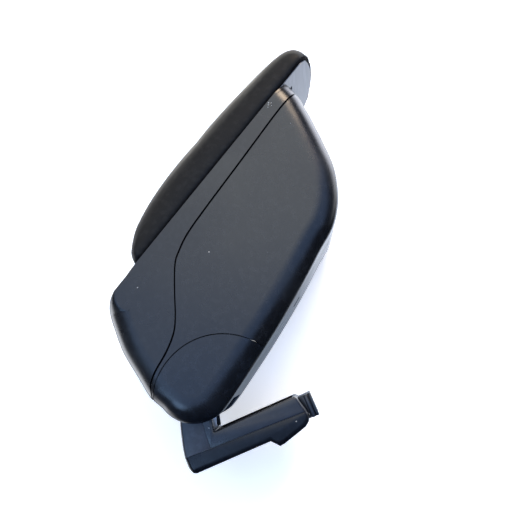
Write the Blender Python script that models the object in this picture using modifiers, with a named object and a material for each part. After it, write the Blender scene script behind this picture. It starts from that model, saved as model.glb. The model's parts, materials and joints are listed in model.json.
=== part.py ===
"""Centre console armrest: a padded, sliding lid on a storage box that folds on a plug-in foot.

All sizes are in millimetres; MM turns them into Blender's metres when a mesh is made.
The foot is level, with X forward, Y left and Z up, and the origin is on its flat underside.
The box is modelled upright in its own frame, whose origin is the pivot, and its empty tilts it.
"""
import math

import bmesh
import bpy
from mathutils import Matrix, Vector

MM = 0.001
CLEARANCE = 0.3
OUTER_STEPS = 4
INNER_STEPS = 3

# The box: a moulded shell and collar round the pivot.
BOX_WIDTH = 136.0
BOX_REACH = 324.0
RIM_HEIGHT = 123.3
BOX_WALL = 2.5
EDGE_ROUND = 18.0
RIM_EDGE_ROUND = 2.0
ROUND_RADIUS = 41.5
BOX_TILT = 28.56
PIVOT_X = -10.0
PIVOT_Z = 88.1

# The well between the two hinge cheeks of the shell, where the riser swings.
WELL_RADIUS = 46.5
WELL_HALF_WIDTH = 31.2
WELL_FRONT = 40.0
CHEEK_WALL = 2.5
SLOT_TOP = 37.0
SLOT_FRONT = 14.0
COVER_RADIUS = 72.3
COVER_INNER = 34.2
COVER_CENTRE = (4.5, -41.5)
SEAM_GROOVE_WIDTH = 2.0
SEAM_GROOVE_DEPTH = 1.1

# The underside panel and the collar's rim.
PANEL_HALF_WIDTH = 50.0
PANEL_FRONT = 214.0
PANEL_REAR = -14.0
WINDOW_X = 138.5
WINDOW_LENGTH = 13.0
WINDOW_WIDTH = 10.0
LEDGE_DEPTH = 6.7
LEDGE_THICKNESS = 3.0
REBATE_REAR = 50.0
RIM_WIDTH = 8.5
OPENING_REAR = 58.0
LEDGE_WIDTH = 4.0
LEDGE_FRONT_WIDTH = 9.0
OPENING_CORNER = 14.0

# The storage bin that hangs in the collar.
BIN_WALL = 1.8
BIN_GAP = 1.6
BIN_REAR = 61.0
BIN_FLANGE = 2.0
BIN_SIDE_GAP = 0.6
BIN_BULKHEAD_GAP = 1.5
BIN_CORNER = 15.0

# The lid: a carrier hinged at the rear, and a padded lid that slides on it.
HINGE_X = 17.0
HINGE_DROP = 8.2
KNUCKLE_RADIUS = 4.0
HINGE_PIN_RADIUS = 1.6
NOTCH_HALF_WIDTH = 42.0
CARRIER_THICKNESS = 2.6
BUFFER_RADIUS = 2.4
BUFFER_STEM_RADIUS = 1.5
BUFFER_REAR = 90.0
BUFFER_SETBACK = 44.0
LID_WIDTH = 130.0
LID_REAR = 58.6
LID_OVERHANG = 53.5
LID_GAP = 0.8
LID_THICKNESS = 46.3
NOSE_BOW = 17.0
NOSE_CORNER = 20.0
PAD_REAR_CORNER = 13.0
PAD_TURN_IN = 3.5
BASE_PLATE = 2.4
BASE_HEIGHT = 8.0
LID_TRAVEL = 38.0
RAIL_Y = 30.5
RAIL_WIDTH = 7.2
RAIL_REAR = 112.0
RAIL_SETBACK = 19.8
RAIL_RISE = 0.6
STRIP_WIDTH = 15.0
STRIP_THICKNESS = 1.5
STRIP_SCREW_END = 12.0

# The foot: a two-part casing with a riser, round a steel bracket.
FOOT_WIDTH = 56.0
FOOT_WALL = 2.4
FOOT_EDGE_ROUND = 5.4
TRAY_EDGE_ROUND = 1.5
FOOT_TOP = 32.5
FOOT_FRONT = 89.7
FOOT_FRONT_LEAN = 7.4
SEAM_REAR = 19.4
SEAM_FRONT = 13.8
TRAY_FLOOR = 22.0
TRAY_REAR = -9.0
RISER_CUT = 25.0
RISER_TOP = 70.0
LIP_DEPTH = 8.4
STEEL = 3.0
EYE_RADIUS = 13.0
SHAFT_RADIUS = 5.0
BUSH_RADIUS = 9.0
BOLT_RADIUS = 3.0
SCREW_RADIUS = 1.75
SCREW_HEAD_RADIUS = 3.1
SCREW_HEAD = 1.6
BOSS_RADIUS = 5.2
HOOK_REACH = 99.4
HOOK_HALF_WIDTH = 20.0
HOOK_LOW = 4.8
HOOK_HIGH = 29.6
HOOK_RIB = 3.6
HOOK_RIB_GAP = 1.8
HOOK_NECK_INSET = 5.0

HALF_BOX = BOX_WIDTH / 2
HALF_LID = LID_WIDTH / 2
HALF_FOOT = FOOT_WIDTH / 2
LEDGE_TOP = RIM_HEIGHT - LEDGE_DEPTH
HINGE_Z = RIM_HEIGHT - HINGE_DROP
RAIL_FRONT = BOX_REACH - RIM_WIDTH - RAIL_SETBACK
SLOT_NOSE = RAIL_FRONT + LID_TRAVEL + CLEARANCE
LID_NOSE = BOX_REACH + LID_OVERHANG
LID_BOTTOM = RIM_HEIGHT + LID_GAP

PARTS = bpy.data.collections.new("console_armrest")


def clear_scene():
    for item in list(bpy.data.objects):
        bpy.data.objects.remove(item, do_unlink=True)
    bpy.context.scene.collection.children.link(PARTS)


def smooth(points, steps=4):
    """Return a curve through the points (Catmull-Rom), with the given steps in each span."""
    result = []
    last = len(points) - 1
    for i in range(last):
        a = Vector(points[max(i - 1, 0)])
        b = Vector(points[i])
        c = Vector(points[i + 1])
        d = Vector(points[min(i + 2, last)])
        for k in range(steps):
            t = k / steps
            point = 0.5 * (2 * b + (c - a) * t + (2 * a - 5 * b + 4 * c - d) * t * t
                           + (3 * b - a - 3 * c + d) * t ** 3)
            result.append(tuple(point))
    result.append(tuple(points[last]))
    return result


def arc(centre, radius, start, end, steps):
    """Return points on an arc; the angles are in degrees."""
    result = []
    for k in range(steps + 1):
        angle = math.radians(start + (end - start) * k / steps)
        result.append((centre[0] + radius * math.cos(angle), centre[1] + radius * math.sin(angle)))
    return result


def normals_of(outline):
    """Return the outward normal at each corner of a closed outline that runs anticlockwise."""
    result = []
    count = len(outline)
    for i in range(count):
        before = Vector(outline[i]) - Vector(outline[i - 1])
        after = Vector(outline[(i + 1) % count]) - Vector(outline[i])
        n1 = Vector((before.y, -before.x)).normalized()
        n2 = Vector((after.y, -after.x)).normalized()
        middle = (n1 + n2).normalized()
        result.append(middle / max(middle.dot(n1), 0.5))
    return result


def inset(outline, distance):
    """Move each corner of an anticlockwise outline inwards."""
    moved = []
    for point, normal in zip(outline, normals_of(outline)):
        moved.append((point[0] - normal.x * distance, point[1] - normal.y * distance))
    return moved


def new_object(name, bm):
    """Turn a bmesh in millimetres into an object in metres."""
    bmesh.ops.recalc_face_normals(bm, faces=bm.faces)
    bmesh.ops.scale(bm, vec=(MM, MM, MM), verts=bm.verts)
    mesh = bpy.data.meshes.new(name)
    bm.to_mesh(mesh)
    bm.free()
    item = bpy.data.objects.new(name, mesh)
    PARTS.objects.link(item)
    return item


def extrude_face(name, corners, direction):
    """Make a solid from one flat face and the way that it is extruded."""
    bm = bmesh.new()
    face = bm.faces.new([bm.verts.new(corner) for corner in corners])
    grown = bmesh.ops.extrude_face_region(bm, geom=[face])
    moved = [part for part in grown["geom"] if isinstance(part, bmesh.types.BMVert)]
    bmesh.ops.translate(bm, verts=moved, vec=direction)
    return new_object(name, bm)


def side_prism(name, outline, low, high):
    """Extrude an outline in X and Z from one Y to another."""
    return extrude_face(name, [(x, low, z) for x, z in outline], (0, high - low, 0))


def plan_prism(name, outline, low, high):
    """Extrude an outline in X and Y from one Z to another."""
    return extrude_face(name, [(x, y, low) for x, y in outline], (0, 0, high - low))


def block(name, x_range, y_range, z_range):
    bm = bmesh.new()
    sizes = (x_range[1] - x_range[0], y_range[1] - y_range[0], z_range[1] - z_range[0])
    middle = (sum(x_range) / 2, sum(y_range) / 2, sum(z_range) / 2)
    bmesh.ops.create_cube(bm, size=1, matrix=Matrix.Translation(middle) @ Matrix.Diagonal((*sizes, 1)))
    return new_object(name, bm)


def rod(name, axis, place, radius, low, high, sides=24):
    """Make a cylinder along Y or Z; the place is its other two coordinates."""
    bm = bmesh.new()
    bmesh.ops.create_cone(bm, cap_ends=True, segments=sides, radius1=radius, radius2=radius,
                          depth=high - low)
    middle = (low + high) / 2
    if axis == "Y":
        turn = Matrix.Rotation(math.pi / 2, 4, "X")
        matrix = Matrix.Translation((place[0], middle, place[1])) @ turn
    else:
        matrix = Matrix.Translation((place[0], place[1], middle))
    bmesh.ops.transform(bm, matrix=matrix, verts=bm.verts)
    return new_object(name, bm)


def rounded_slab(name, outline, half_width, rounds, steps=4):
    """Loft an outline across Y, with its own edge round at each corner of the outline."""
    normals = normals_of(outline)
    rings = []
    for side in (-1, 1):
        turns = range(steps + 1) if side < 0 else range(steps, -1, -1)
        for k in turns:
            angle = math.pi / 2 * (1 - k / steps)
            ring = []
            for point, normal, edge in zip(outline, normals, rounds):
                inward = edge * (1 - math.cos(angle))
                across = half_width - edge * (1 - math.sin(angle))
                ring.append((point[0] - normal.x * inward, side * across, point[1] - normal.y * inward))
            rings.append(ring)
    bm = bmesh.new()
    loops = [[bm.verts.new(corner) for corner in ring] for ring in rings]
    count = len(outline)
    for first, second in zip(loops, loops[1:]):
        for i in range(count):
            j = (i + 1) % count
            bm.faces.new((first[i], first[j], second[j], second[i]))
    bm.faces.new(loops[0])
    bm.faces.new(loops[-1])
    return new_object(name, bm)


def boolean(item, tool, operation):
    """Cut, join or intersect with the EXACT solver and keep the result as the object's mesh."""
    modifier = item.modifiers.new(operation, "BOOLEAN")
    modifier.operation = operation
    modifier.solver = "EXACT"
    modifier.object = tool
    apply_modifiers(item)
    bpy.data.objects.remove(tool, do_unlink=True)
    return item


def apply_modifiers(item):
    graph = bpy.context.evaluated_depsgraph_get()
    mesh = bpy.data.meshes.new_from_object(item.evaluated_get(graph))
    item.modifiers.clear()
    item.data = mesh
    mesh.name = item.name


def cut(item, *tools):
    for tool in tools:
        boolean(item, tool, "DIFFERENCE")
    return item


def join(item, *others):
    for other in others:
        boolean(item, other, "UNION")
    return item


def keep(item, tool):
    return boolean(item, tool, "INTERSECT")


def soften(item, width, segments=2, angle=40):
    """Round the sharp edges with a Bevel."""
    modifier = item.modifiers.new("edge_round", "BEVEL")
    modifier.width = width * MM
    modifier.segments = segments
    modifier.limit_method = "ANGLE"
    modifier.angle_limit = math.radians(angle)
    apply_modifiers(item)
    return item


def finish(item, parent, colour, roughness, metallic=0.0):
    """Give a piece its material and its parent, and shade its round faces smooth."""
    material = bpy.data.materials.new(item.name)
    material.use_nodes = True
    shader = material.node_tree.nodes["Principled BSDF"]
    shader.inputs["Base Color"].default_value = (*colour, 1)
    shader.inputs["Roughness"].default_value = roughness
    shader.inputs["Metallic"].default_value = metallic
    item.data.materials.clear()
    item.data.materials.append(material)
    item.data.shade_smooth()
    item.data.set_sharp_from_angle(angle=math.radians(35))
    item.parent = parent
    return item


def axis_empty(name, parent, x, z, tilt=0.0):
    """Put an empty on a joint's axis, tilted nose up by an angle in degrees."""
    empty = bpy.data.objects.new(name, None)
    PARTS.objects.link(empty)
    empty.parent = parent
    empty.location = (x * MM, 0, z * MM)
    empty.rotation_euler = (0, -math.radians(tilt), 0)
    return empty


BLACK_PLASTIC = (0.022, 0.024, 0.03)
SLATE_PLASTIC = (0.05, 0.058, 0.075)
VINYL = (0.02, 0.02, 0.021)
STEEL_GREY = (0.45, 0.46, 0.48)
RUBBER = (0.015, 0.015, 0.015)


# Corners of the box's side view: the nose from the rim, the underside between the pivot and the
# nose, and the rear wall; shares are of the run or the height that they divide.
NOSE_OFFSETS = [(-129, -145.6), (-103, -141.6), (-81.4, -132.1), (-65, -120.1), (-47.3, -101.7),
                (-33.5, -79.1), (-18, -50.1), (-9.5, -32.1), (-4.5, -21.1), (-1.5, -8), (0, 4), (0.5, 66)]
UNDER_START = 12.0
UNDER_SHARES = [(0, 0), (0.21, 0.12), (0.43, 0.29), (0.65, 0.51), (0.84, 0.75)]
REAR_SHARES = [(-38.2, 0.18), (-36, 0.25), (-31, 0.37), (-22, 0.6), (-13.5, 0.74)]
DECK_OFFSETS = [(-2.5, -13.3), (1.8, -8), (7.7, -4), (14, -1.4), (21, -0.4), (33, -0.1), (48, 0)]


def box_outline():
    """Side view of the box, anticlockwise from the front of the rim; also each corner's round."""
    front = [(BOX_REACH + dx, RIM_HEIGHT + dz) for dx, dz in NOSE_OFFSETS]
    low = -ROUND_RADIUS - 2.0
    run = front[0][0] - UNDER_START
    climb = front[0][1] - low
    under = [(UNDER_START + run * along, low + climb * up) for along, up in UNDER_SHARES]
    rear = [(x, RIM_HEIGHT * share) for x, share in REAR_SHARES]
    deck = [(x, RIM_HEIGHT + dz) for x, dz in DECK_OFFSETS]
    above = [(62, RIM_HEIGHT + 2.5), (80, RIM_HEIGHT + 8), (110, RIM_HEIGHT + 60)]
    bottom_round = arc((2.5, -2.5), ROUND_RADIUS, 168, 262, 9)
    lower_right = smooth(under + front, 2)
    upper_left = smooth(above[::-1] + deck[::-1] + rear[::-1], 2)
    outline = lower_right + upper_left + bottom_round
    rounds = []
    for x, z in outline:
        if x > 150 or z < RIM_HEIGHT - 14:
            rounds.append(EDGE_ROUND)
        else:
            share = min(max((24 - x) / 24, 0), 1)
            rounds.append(RIM_EDGE_ROUND + (EDGE_ROUND - RIM_EDGE_ROUND) * share)
    return outline, rounds


def box_solid(name, depth, top=RIM_HEIGHT):
    """The box's outer form, moved inwards by a depth and cut off at the rim or another height."""
    outline, rounds = box_outline()
    rounds = [max(edge - depth, 0.8) for edge in rounds]
    steps = OUTER_STEPS if depth <= 0 else INNER_STEPS
    item = rounded_slab(name, inset(outline, depth) if depth else outline, HALF_BOX - depth, rounds, steps)
    above = block("above_rim", (-100, BOX_REACH + 100), (-HALF_BOX - 9, HALF_BOX + 9),
                  (top, RIM_HEIGHT + 90))
    return cut(item, above)


# The S-shaped seam: heights as shares of the rim's height, from the rear wall to the nose.
SEAM_SHARES = [(-70, 0.13), (-46, 0.138), (-37.5, 0.159), (-31.8, 0.198), (-25, 0.24), (-11.4, 0.274),
               (10.6, 0.303), (30, 0.354), (44.8, 0.434), (65, 0.58), (86.6, 0.721), (101, 0.77),
               (122, 0.808), (160, 0.827), (220, 0.847), (275, 0.867), (300, 0.871)]


def seam_outline(shift):
    """Region above the S-shaped seam between collar and shell, moved up by a shift."""
    seam = [(x, RIM_HEIGHT * share) for x, share in SEAM_SHARES]
    seam.append((BOX_REACH + 40, seam[-1][1]))
    line = smooth(seam, 3)
    closing = [(BOX_REACH + 40, RIM_HEIGHT + 60), (-70, RIM_HEIGHT + 60)]
    return [(x, z + shift) for x, z in line] + closing


def cover_region(name, radius, low, high):
    """The round of the pivot covers, as a cylinder across Y."""
    return rod(name, "Y", COVER_CENTRE, radius, low, high, 64)


def well_outline(radius, front):
    """Side view of the riser's well: an arc round the pivot, flat in front, open below."""
    top = math.degrees(math.acos(min(front / radius, 1)))
    upper = arc((0, 0), radius, top, 200, 20)
    return [(front, -80)] + upper + [(-80, -20), (-80, -80)]


def plan_outline(rear, front, half_width, corner, bow=0.0, steps=6, rear_corner=0.0):
    """Plan of a lid-like plate, anticlockwise, with a bowed front and rounded corners."""
    slope = math.atan(2 * bow / half_width)
    centre_x = front - bow - corner * math.tan((math.pi / 2 - slope) / 2)
    right = arc((centre_x, -half_width + corner), corner, -90, -math.degrees(slope), steps)
    if rear_corner:
        right = arc((rear + rear_corner, -half_width + rear_corner), rear_corner, -180, -90, 4) + right
    else:
        right = [(rear, -half_width)] + right
    left = [(x, -y) for x, y in right[::-1]]
    nose = []
    reach = right[-1]
    if bow:
        for k in range(1, 8):
            y = reach[1] * (1 - k / 4)
            nose.append((reach[0] + (front - reach[0]) * (1 - (y / reach[1]) ** 2), y))
    return right + nose + left


def slot_cutter(name):
    """Clears the riser's slot through the rear wall and the underside."""
    reach = WELL_HALF_WIDTH
    return block(name, (-80, -20), (-reach, reach), (-80, SLOT_TOP))


def make_collar(parent):
    outer = box_solid("collar", 0)
    cut(outer, box_solid("collar_inside", BOX_WALL, RIM_HEIGHT + 30))
    ledge = keep(box_solid("ledge", 1.0), block("ledge_band", (-60, BOX_REACH + 20), (-90, 90),
                                                (LEDGE_TOP - LEDGE_THICKNESS, RIM_HEIGHT + 1)))
    seat = keep(box_solid("hinge_seat", 1.0), block("hinge_band", (-20, OPENING_REAR - 1), (-52, 52),
                                                    (RIM_HEIGHT - 18, RIM_HEIGHT + 1)))
    join(outer, ledge, seat)
    keep(outer, side_prism("above_seam", seam_outline(0), -90, 90))
    rebate_half = HALF_BOX - RIM_WIDTH
    rebate = plan_prism("rebate", plan_outline(REBATE_REAR, BOX_REACH - RIM_WIDTH, rebate_half, OPENING_CORNER),
                        LEDGE_TOP, RIM_HEIGHT + 9)
    opening = plan_prism("opening", plan_outline(OPENING_REAR, BOX_REACH - RIM_WIDTH - LEDGE_FRONT_WIDTH,
                                                 rebate_half - LEDGE_WIDTH, OPENING_CORNER),
                         LEDGE_TOP - 20, LEDGE_TOP + 2)
    notch = block("hinge_notch", (HINGE_X - KNUCKLE_RADIUS - 0.8, OPENING_REAR),
                  (-NOTCH_HALF_WIDTH, NOTCH_HALF_WIDTH),
                  (HINGE_Z - KNUCKLE_RADIUS - 0.8, RIM_HEIGHT + 9))
    cut(outer, rebate, opening, notch, slot_cutter("riser_slot"))
    lug = rod("lug", "Y", (HINGE_X, HINGE_Z), KNUCKLE_RADIUS, -12, 12)
    lug_root = block("lug_root", (HINGE_X - 3, HINGE_X + 3), (-12, 12),
                     (HINGE_Z - KNUCKLE_RADIUS - 3, HINGE_Z))
    join(outer, lug, lug_root)
    pin_hole = rod("pin_hole", "Y", (HINGE_X, HINGE_Z), HINGE_PIN_RADIUS + CLEARANCE,
                   -NOTCH_HALF_WIDTH - 6, NOTCH_HALF_WIDTH + 6, 16)
    cut(outer, pin_hole)
    return finish(outer, parent, BLACK_PLASTIC, 0.42)


def make_shell(parent):
    shell = box_solid("lower_shell", 0)
    cut(shell, box_solid("shell_inside", BOX_WALL, RIM_HEIGHT + 30))
    inner_radius = COVER_RADIUS + CLEARANCE
    bulkhead = cover_region("bulkhead", inner_radius + BOX_WALL, -HALF_BOX + 1, HALF_BOX - 1)
    cut(bulkhead, cover_region("bulkhead_inside", inner_radius, -HALF_BOX - 1, HALF_BOX + 1))
    keep(bulkhead, box_solid("bulkhead_limit", 1.0))
    drum = side_prism("drum", well_outline(WELL_RADIUS + CHEEK_WALL, WELL_FRONT + CHEEK_WALL),
                      -WELL_HALF_WIDTH - CHEEK_WALL, WELL_HALF_WIDTH + CHEEK_WALL)
    keep(drum, box_solid("drum_limit", BOX_WALL + CLEARANCE))
    join(shell, bulkhead, drum)
    cut(shell, side_prism("well", well_outline(WELL_RADIUS, WELL_FRONT), -WELL_HALF_WIDTH, WELL_HALF_WIDTH))
    for side in (-1, 1):
        low, high = sorted((side * (WELL_HALF_WIDTH + CHEEK_WALL), side * (HALF_BOX + 9)))
        cut(shell, cover_region("cover_space", inner_radius, low, high))
    cut(shell, side_prism("collar_space", seam_outline(-CLEARANCE), -90, 90))
    groove = side_prism("seam_groove", seam_outline(-SEAM_GROOVE_WIDTH), -90, 90)
    cut(groove, box_solid("groove_core", SEAM_GROOVE_DEPTH))
    cut(shell, groove)
    panel_half = PANEL_HALF_WIDTH + CLEARANCE
    panel_space = block("panel_space", (PANEL_REAR - 40, PANEL_FRONT + CLEARANCE), (-panel_half, panel_half),
                        (-80, -5))
    keep(panel_space, box_solid("under_skin", -5))
    cut(panel_space, box_solid("under_core", BOX_WALL + 0.1))
    cut(shell, panel_space)
    cut(shell, rod("shaft_hole", "Y", (0, 0), SHAFT_RADIUS + CLEARANCE, -50, 50))
    cut(shell, slot_cutter("rear_slot"))
    return finish(shell, parent, BLACK_PLASTIC, 0.4)


def make_covers(parent):
    for side, name in ((-1, "pivot_cover_right"), (1, "pivot_cover_left")):
        cover = box_solid(name, 0)
        low, high = sorted((side * COVER_INNER, side * (HALF_BOX + 9)))
        keep(cover, cover_region("cover_round", COVER_RADIUS, low, high))
        hollow = box_solid("cover_inside", BOX_WALL)
        low, high = sorted((side * (COVER_INNER - 5), side * (HALF_BOX - BOX_WALL)))
        keep(hollow, cover_region("hollow_round", COVER_RADIUS - BOX_WALL, low, high))
        cut(cover, hollow)
        low, high = sorted((side * 10, side * (PANEL_HALF_WIDTH + CLEARANCE)))
        panel_edge = keep(box_solid("panel_edge", -5), block("panel_side", (PANEL_REAR, 90), (low, high), (-90, -10)))
        cut(panel_edge, box_solid("panel_core", BOX_WALL + 0.1))
        cut(cover, panel_edge)
        cut(cover, side_prism("collar_side", seam_outline(-SEAM_GROOVE_WIDTH), -90, 90))
        finish(cover, parent, BLACK_PLASTIC, 0.38)


def make_panel(parent):
    panel = box_solid("bottom_panel", 0)
    half = PANEL_HALF_WIDTH
    keep(panel, block("panel_area", (PANEL_REAR + CLEARANCE, PANEL_FRONT), (-half, half), (-80, -8)))
    cut(panel, box_solid("panel_inside", BOX_WALL - 0.2))
    slot = WELL_HALF_WIDTH
    cut(panel, block("riser_gap", (PANEL_REAR - 9, SLOT_FRONT), (-slot, slot), (-80, 0)))
    window = block("window", (WINDOW_X - WINDOW_LENGTH / 2, WINDOW_X + WINDOW_LENGTH / 2),
                   (-WINDOW_WIDTH / 2, WINDOW_WIDTH / 2), (-80, 0))
    cut(panel, window)
    return finish(panel, parent, SLATE_PLASTIC, 0.3)


def make_bin(parent):
    def bin_solid(name, depth, rear, cover_gap, top):
        item = box_solid(name, depth)
        area = block("bin_area", (rear, BOX_REACH), (-90, 90), (-60, top))
        keep(item, area)
        return cut(item, cover_region("bin_round", COVER_RADIUS + BOX_WALL + cover_gap, -90, 90))

    # The bin is drawn in at the sides so that it passes the collar's ledge.
    outer_half = HALF_BOX - RIM_WIDTH - LEDGE_WIDTH - BIN_SIDE_GAP
    side_gap = outer_half - BIN_WALL
    depth = BOX_WALL + BIN_GAP
    tub = bin_solid("storage_bin", depth, BIN_REAR, BIN_BULKHEAD_GAP, LEDGE_TOP + 1)
    front = BOX_REACH - RIM_WIDTH - LEDGE_FRONT_WIDTH - 1
    keep(tub, plan_prism("bin_sides", plan_outline(0, front, outer_half, BIN_CORNER), -60, RIM_HEIGHT))
    hollow = bin_solid("bin_hollow", depth + BIN_WALL, BIN_REAR + BIN_WALL, BIN_BULKHEAD_GAP + BIN_WALL,
                       RIM_HEIGHT)
    keep(hollow, plan_prism("hollow_sides", plan_outline(0, front - BIN_WALL, side_gap, BIN_CORNER - BIN_WALL),
                            -60, RIM_HEIGHT + 2))
    flange_low = LEDGE_TOP + CLEARANCE
    flange = plan_prism("bin_flange", plan_outline(OPENING_REAR - 0.7, BOX_REACH - RIM_WIDTH - 1,
                                                   HALF_BOX - RIM_WIDTH - 1, OPENING_CORNER - 1),
                        flange_low, flange_low + BIN_FLANGE)
    join(tub, flange)
    cut(tub, hollow)
    for x, y in buffer_places():
        cut(tub, rod("buffer_hole", "Z", (x, y), BUFFER_STEM_RADIUS + CLEARANCE, flange_low - 6, flange_low + 6, 12))
    return finish(tub, parent, BLACK_PLASTIC, 0.55)


def buffer_places():
    across = HALF_BOX - RIM_WIDTH - BUFFER_RADIUS - 2.6
    return [(x, side * across) for x in (BUFFER_REAR, BOX_REACH - BUFFER_SETBACK) for side in (-1, 1)]


def make_buffers(parent):
    low = LEDGE_TOP + 2 * CLEARANCE + BIN_FLANGE
    top = RIM_HEIGHT - CARRIER_THICKNESS - CLEARANCE
    for number, (x, y) in enumerate(buffer_places(), 1):
        button = rod(f"lid_buffer_{number}", "Z", (x, y), BUFFER_RADIUS, low, top, 16)
        join(button, rod("stem", "Z", (x, y), BUFFER_STEM_RADIUS, low - BIN_FLANGE, low + 0.5, 12))
        finish(button, parent, RUBBER, 0.8)


def make_carrier(parent):
    top = RIM_HEIGHT
    low = top - CARRIER_THICKNESS
    half = HALF_BOX - RIM_WIDTH - 0.5
    carrier = plan_prism("lid_carrier", plan_outline(REBATE_REAR + 6, BOX_REACH - RIM_WIDTH - 0.5, half,
                                                     OPENING_CORNER - 0.5), low, top)
    tongue_half = NOTCH_HALF_WIDTH - 0.5
    radius = KNUCKLE_RADIUS
    tongue = side_prism("tongue", [(HINGE_X, HINGE_Z + radius), (46, HINGE_Z + radius), (50, top), (60, top),
                                   (60, low), (56.5, low), (52, HINGE_Z + 0.6), (HINGE_X, HINGE_Z - radius)],
                        -tongue_half, tongue_half)
    barrel = rod("barrel", "Y", (HINGE_X, HINGE_Z), radius, -tongue_half, tongue_half)
    join(tongue, barrel)
    cut(tongue, block("lug_space", (HINGE_X - 9, HINGE_X + radius + 1), (-12.4, 12.4),
                      (HINGE_Z - 9, HINGE_Z + 9)))
    join(carrier, tongue)
    for side in (-1, 1):
        rib_y = side * (RAIL_Y + 12)
        rib = block("rib", (70, RAIL_FRONT - 6), (rib_y - 1, rib_y + 1), (low - 3, low + 1))
        stem = block("rail_stem", (RAIL_REAR, RAIL_FRONT),
                     (side * RAIL_Y - RAIL_WIDTH / 2, side * RAIL_Y + RAIL_WIDTH / 2),
                     (top - 1, LID_BOTTOM + BASE_PLATE + RAIL_RISE))
        join(carrier, rib, stem)
        for x in strip_screw_places():
            cut(carrier, rod("screw_hole", "Z", (x, side * RAIL_Y), SCREW_RADIUS + CLEARANCE, low - 9,
                             LID_BOTTOM + 9, 12))
    cut(carrier, rod("carrier_pin_hole", "Y", (HINGE_X, HINGE_Z), HINGE_PIN_RADIUS + CLEARANCE, -50, 50, 16))
    return finish(carrier, parent, BLACK_PLASTIC, 0.5)


def strip_screw_places():
    """Where the screws go along each slide strip."""
    return (RAIL_REAR + STRIP_SCREW_END, (RAIL_REAR + RAIL_FRONT) / 2, RAIL_FRONT - STRIP_SCREW_END)


def make_strips(parent):
    low = LID_BOTTOM + BASE_PLATE + RAIL_RISE + CLEARANCE
    head_low = low + STRIP_THICKNESS + CLEARANCE
    shank_low = RIM_HEIGHT - CARRIER_THICKNESS
    for side, name in ((-1, "slide_strip_right"), (1, "slide_strip_left")):
        strip = block(name, (RAIL_REAR, RAIL_FRONT),
                      (side * RAIL_Y - STRIP_WIDTH / 2, side * RAIL_Y + STRIP_WIDTH / 2),
                      (low, low + STRIP_THICKNESS))
        soften(strip, 0.4, 1)
        for number, x in enumerate(strip_screw_places(), 1):
            place = (x, side * RAIL_Y)
            cut(strip, rod("strip_hole", "Z", place, SCREW_RADIUS + CLEARANCE, low - 3, low + 3, 12))
            screw_name = name.replace("strip", "screw") + f"_{number}"
            screw = rod(screw_name, "Z", place, SCREW_HEAD_RADIUS, head_low, head_low + SCREW_HEAD, 16)
            join(screw, rod("screw_shank", "Z", place, SCREW_RADIUS, shank_low, head_low + 0.5, 12))
            finish(screw, parent, STEEL_GREY, 0.3, 1.0)
        finish(strip, parent, STEEL_GREY, 0.35, 1.0)


def make_hinge_pin(parent):
    reach = NOTCH_HALF_WIDTH + 5
    pin = rod("lid_hinge_pin", "Y", (HINGE_X, HINGE_Z), HINGE_PIN_RADIUS, -reach, reach, 16)
    return finish(pin, parent, STEEL_GREY, 0.3, 1.0)


def make_pad_base(parent):
    rear = LID_REAR + PAD_TURN_IN
    outline = plan_outline(rear, LID_NOSE - PAD_TURN_IN, HALF_LID - PAD_TURN_IN, NOSE_CORNER - PAD_TURN_IN,
                           NOSE_BOW, rear_corner=PAD_REAR_CORNER - PAD_TURN_IN)
    base = plan_prism("pad_base", outline, LID_BOTTOM, LID_BOTTOM + BASE_HEIGHT)
    hollow = plan_prism("base_hollow", inset(outline, 2.2), LID_BOTTOM + BASE_PLATE, LID_BOTTOM + BASE_HEIGHT + 5)
    cut(base, hollow)
    for side in (-1, 1):
        half = RAIL_WIDTH / 2 + 0.4
        cut(base, block("rail_slot", (RAIL_REAR - CLEARANCE, SLOT_NOSE),
                        (side * RAIL_Y - half, side * RAIL_Y + half),
                        (LID_BOTTOM - 2, LID_BOTTOM + BASE_PLATE + 2)))
    return finish(base, parent, SLATE_PLASTIC, 0.3)


# The pad's crown: places as shares of the lid's length, heights as shares of its thickness.
CROWN_SHARES = [(0, 0.11), (0.006, 0.22), (0.023, 0.39), (0.051, 0.55), (0.083, 0.68), (0.117, 0.78),
                (0.196, 0.903), (0.28, 0.974), (0.371, 1), (0.469, 0.991), (0.566, 0.983), (0.666, 0.946),
                (0.77, 0.883), (0.835, 0.827), (0.889, 0.758), (0.933, 0.663), (0.961, 0.551),
                (0.98, 0.41), (0.992, 0.26), (1, 0.11)]


def pad_sections():
    """Height of the pad's crown along the lid."""
    length = LID_NOSE - LID_REAR
    return smooth([(LID_REAR + length * along, LID_THICKNESS * up) for along, up in CROWN_SHARES], 2)


def pad_half_width(x):
    """Half-width of the pad at a place along it, with the bowed nose and rounded rear corners."""
    outline = plan_outline(LID_REAR, LID_NOSE, HALF_LID, NOSE_CORNER, NOSE_BOW, 10, PAD_REAR_CORNER)
    upper = [(px, py) for px, py in outline if py >= 0]
    for (x0, y0), (x1, y1) in zip(upper, upper[1:]):
        if min(x0, x1) <= x <= max(x0, x1) and abs(x1 - x0) > 1e-6:
            return y0 + (y1 - y0) * (x - x0) / (x1 - x0)
    return 1.0


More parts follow.
